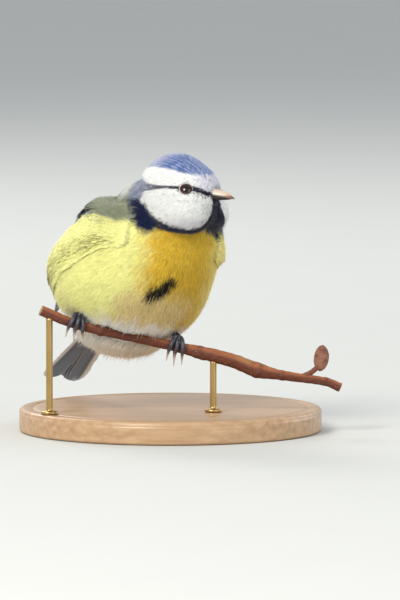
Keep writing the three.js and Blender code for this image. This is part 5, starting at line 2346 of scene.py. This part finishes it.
@dataclass
class Stand:
    """A round waxed base and two brass rods with flanges, up to the twig."""

    radius: float = 46.0
    thickness: float = 7.0
    bevel: float = 1.2
    rod_radius: float = 1.0
    flange_radius: float = 2.6
    flange_height: float = 0.9
    rods: tuple = (("left", 13.0), ("right", -36.4))

    def make(self, twig: Twig) -> None:
        """Makes the base and the rods.

        Args:
            twig: What the rods carry.
        """
        turn_ = np.linspace(0, 0.5 * math.pi, 9)
        inset, drop = self.bevel * (1 - np.cos(turn_)), self.bevel * (1 - np.sin(turn_))
        corner = np.stack([self.radius - inset, self.thickness - drop], 1)
        foot = [[0.0, 0.0], [self.radius - 1.0, 0.0], [self.radius - 0.35, 0.12], [self.radius, 0.5]]
        side = [[self.radius, z] for z in np.linspace(0.8, self.thickness - self.bevel, 6)]
        groove = [[self.radius - 3.6, self.thickness], [self.radius - 3.9, self.thickness - 0.25]]
        groove += [[self.radius - 4.3, self.thickness - 0.25], [self.radius - 4.6, self.thickness]]
        top = [[r, self.thickness] for r in np.linspace(self.radius - 6.0, 0.0, 12)]
        base = lathe_of(np.array([*foot, *side, *corner.tolist(), *groove, *top]), 160)
        piece("base_turned", base, WoodFinish("waxed_wood"), ("stand_base",))
        for side_name, x in self.rods:
            point, radius, _, _, _ = twig.at(x)
            foot_z = self.thickness + GAP * 0.5
            end = point[0, 2] - radius[0] * 0.75 - foot_z
            f, h, r = self.flange_radius, self.flange_height, self.rod_radius
            profile = [[0, 0], [f - 0.15, 0], [f, 0.15], [f, h - 0.25], [f - 0.25, h], [r + 0.5, h]]
            profile += [[r + 0.15, h + 0.12], [r, h + 0.5]]
            profile += [[r, z] for z in np.linspace(h + 1, end - 0.6, 12)]
            profile += [[r, end - 0.2], [r - 0.3, end], [0, end]]
            rod = lathe_of(np.array(profile, float), 40)
            rod.points = rod.points + np.array([point[0, 0], point[0, 1], foot_z])
            piece(f"rod_{side_name}_brass", rod, BrassFinish("brass"), (f"stand_rod_{side_name}",))


# Studio


@dataclass
class Studio:
    """A pale floor, soft lights and the camera at the photograph's angle."""

    aim: Triple = (9.0, -8.0, 40.4)
    distance: float = 2500.0
    elevation: float = 5.0
    frame_height: float = 600 / 3.3
    sensor: float = 36.0
    floor_radius: float = 9000.0
    lit: Triple = (0, -8, 45)
    lamps: tuple = (
        ("key", (-620, -980, 900), 520, 17.0, (1.0, 0.965, 0.9)),
        ("fill", (900, -900, 420), 900, 4.0, (0.9, 0.95, 1.0)),
        ("rim", (-500, 900, 800), 500, 6.0, (1.0, 0.98, 0.95)),
        ("rim_low", (900, 700, 500), 500, 3.0, (0.95, 0.98, 1.0)),
    )

    def place_camera(self) -> None:
        """Creates the camera and makes it the scene's."""
        data = bpy.data.cameras.new("camera")
        data.sensor_width = self.sensor
        data.lens = self.sensor * self.distance / self.frame_height
        data.clip_start, data.clip_end = 0.1, 60.0
        camera = bpy.data.objects.new("camera", data)
        tilt = math.radians(self.elevation)
        forward = Vector((0, math.cos(tilt), -math.sin(tilt)))
        camera.location = (Vector(self.aim) - forward * self.distance) * MM
        camera.rotation_euler = forward.to_track_quat("-Z", "Y").to_euler()
        bpy.context.scene.collection.objects.link(camera)
        bpy.context.scene.camera = camera

    def light(
        self, name: str, place: Triple, size: float, watts: float, tone: tuple
    ) -> None:
        """Adds a soft square light that faces the bird.

        Args:
            name: Its name.
            place: Where it hangs, in millimetres.
            size: Its side.
            watts: Its power.
            tone: Its colour.
        """
        data = bpy.data.lights.new(name, "AREA")
        data.shape = "SQUARE"
        data.size = size * MM
        data.energy = watts
        data.color = tone
        lamp = bpy.data.objects.new(name, data)
        lamp.location = Vector(place) * MM
        lamp.rotation_euler = (Vector(self.lit) - Vector(place)).to_track_quat("-Z", "Y").to_euler()
        bpy.context.scene.collection.objects.link(lamp)

    def make(self) -> None:
        """Makes the floor, the lights and the world."""
        scene = bpy.context.scene
        scene.view_settings.view_transform = "Standard"
        scene.view_settings.look = "None"
        rings = np.concatenate([np.linspace(0, 400, 9), np.geomspace(600, self.floor_radius, 12)])
        disc = lathe_of(np.stack([rings, np.zeros(len(rings))], 1)[::-1], 72)
        floor = bpy.data.objects.new("studio_floor", mesh_of("studio_floor", disc))
        floor.location = (0, 0, -0.0001)
        floor.data.materials.append(FloorFinish("pale_floor").material())
        scene.collection.objects.link(floor)
        world = bpy.data.worlds.new("pale_room")
        world.use_nodes = True
        sky = world.node_tree.nodes["Background"]
        sky.inputs["Color"].default_value = (*linear(232, 238, 244), 1)
        sky.inputs["Strength"].default_value = 0.72
        scene.world = world
        for lamp in self.lamps:
            self.light(*lamp)


def main() -> None:
    """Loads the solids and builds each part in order."""
    logging.basicConfig(level=logging.INFO, format="%(name)s %(message)s", stream=sys.stdout)
    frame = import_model()
    studio = Studio()
    studio.place_camera()
    studio.make()
    skin = Skin()
    skin.raise_form(frame["nodes"])
    skin.make()
    wings = [Wing(1), Wing(-1)]
    for wing in wings:
        wing.make()
    Tail().make()
    for sign in (1, -1):
        Eye(sign).make()
    Bill().make()
    twig = Twig()
    twig.make()
    Coat().make(skin, wings, twig)
    for foot in (Foot("right", -28.4), Foot("left", 1.6)):
        foot.make(twig)
    Stand().make(twig)


if __name__ == "__main__":
    main()
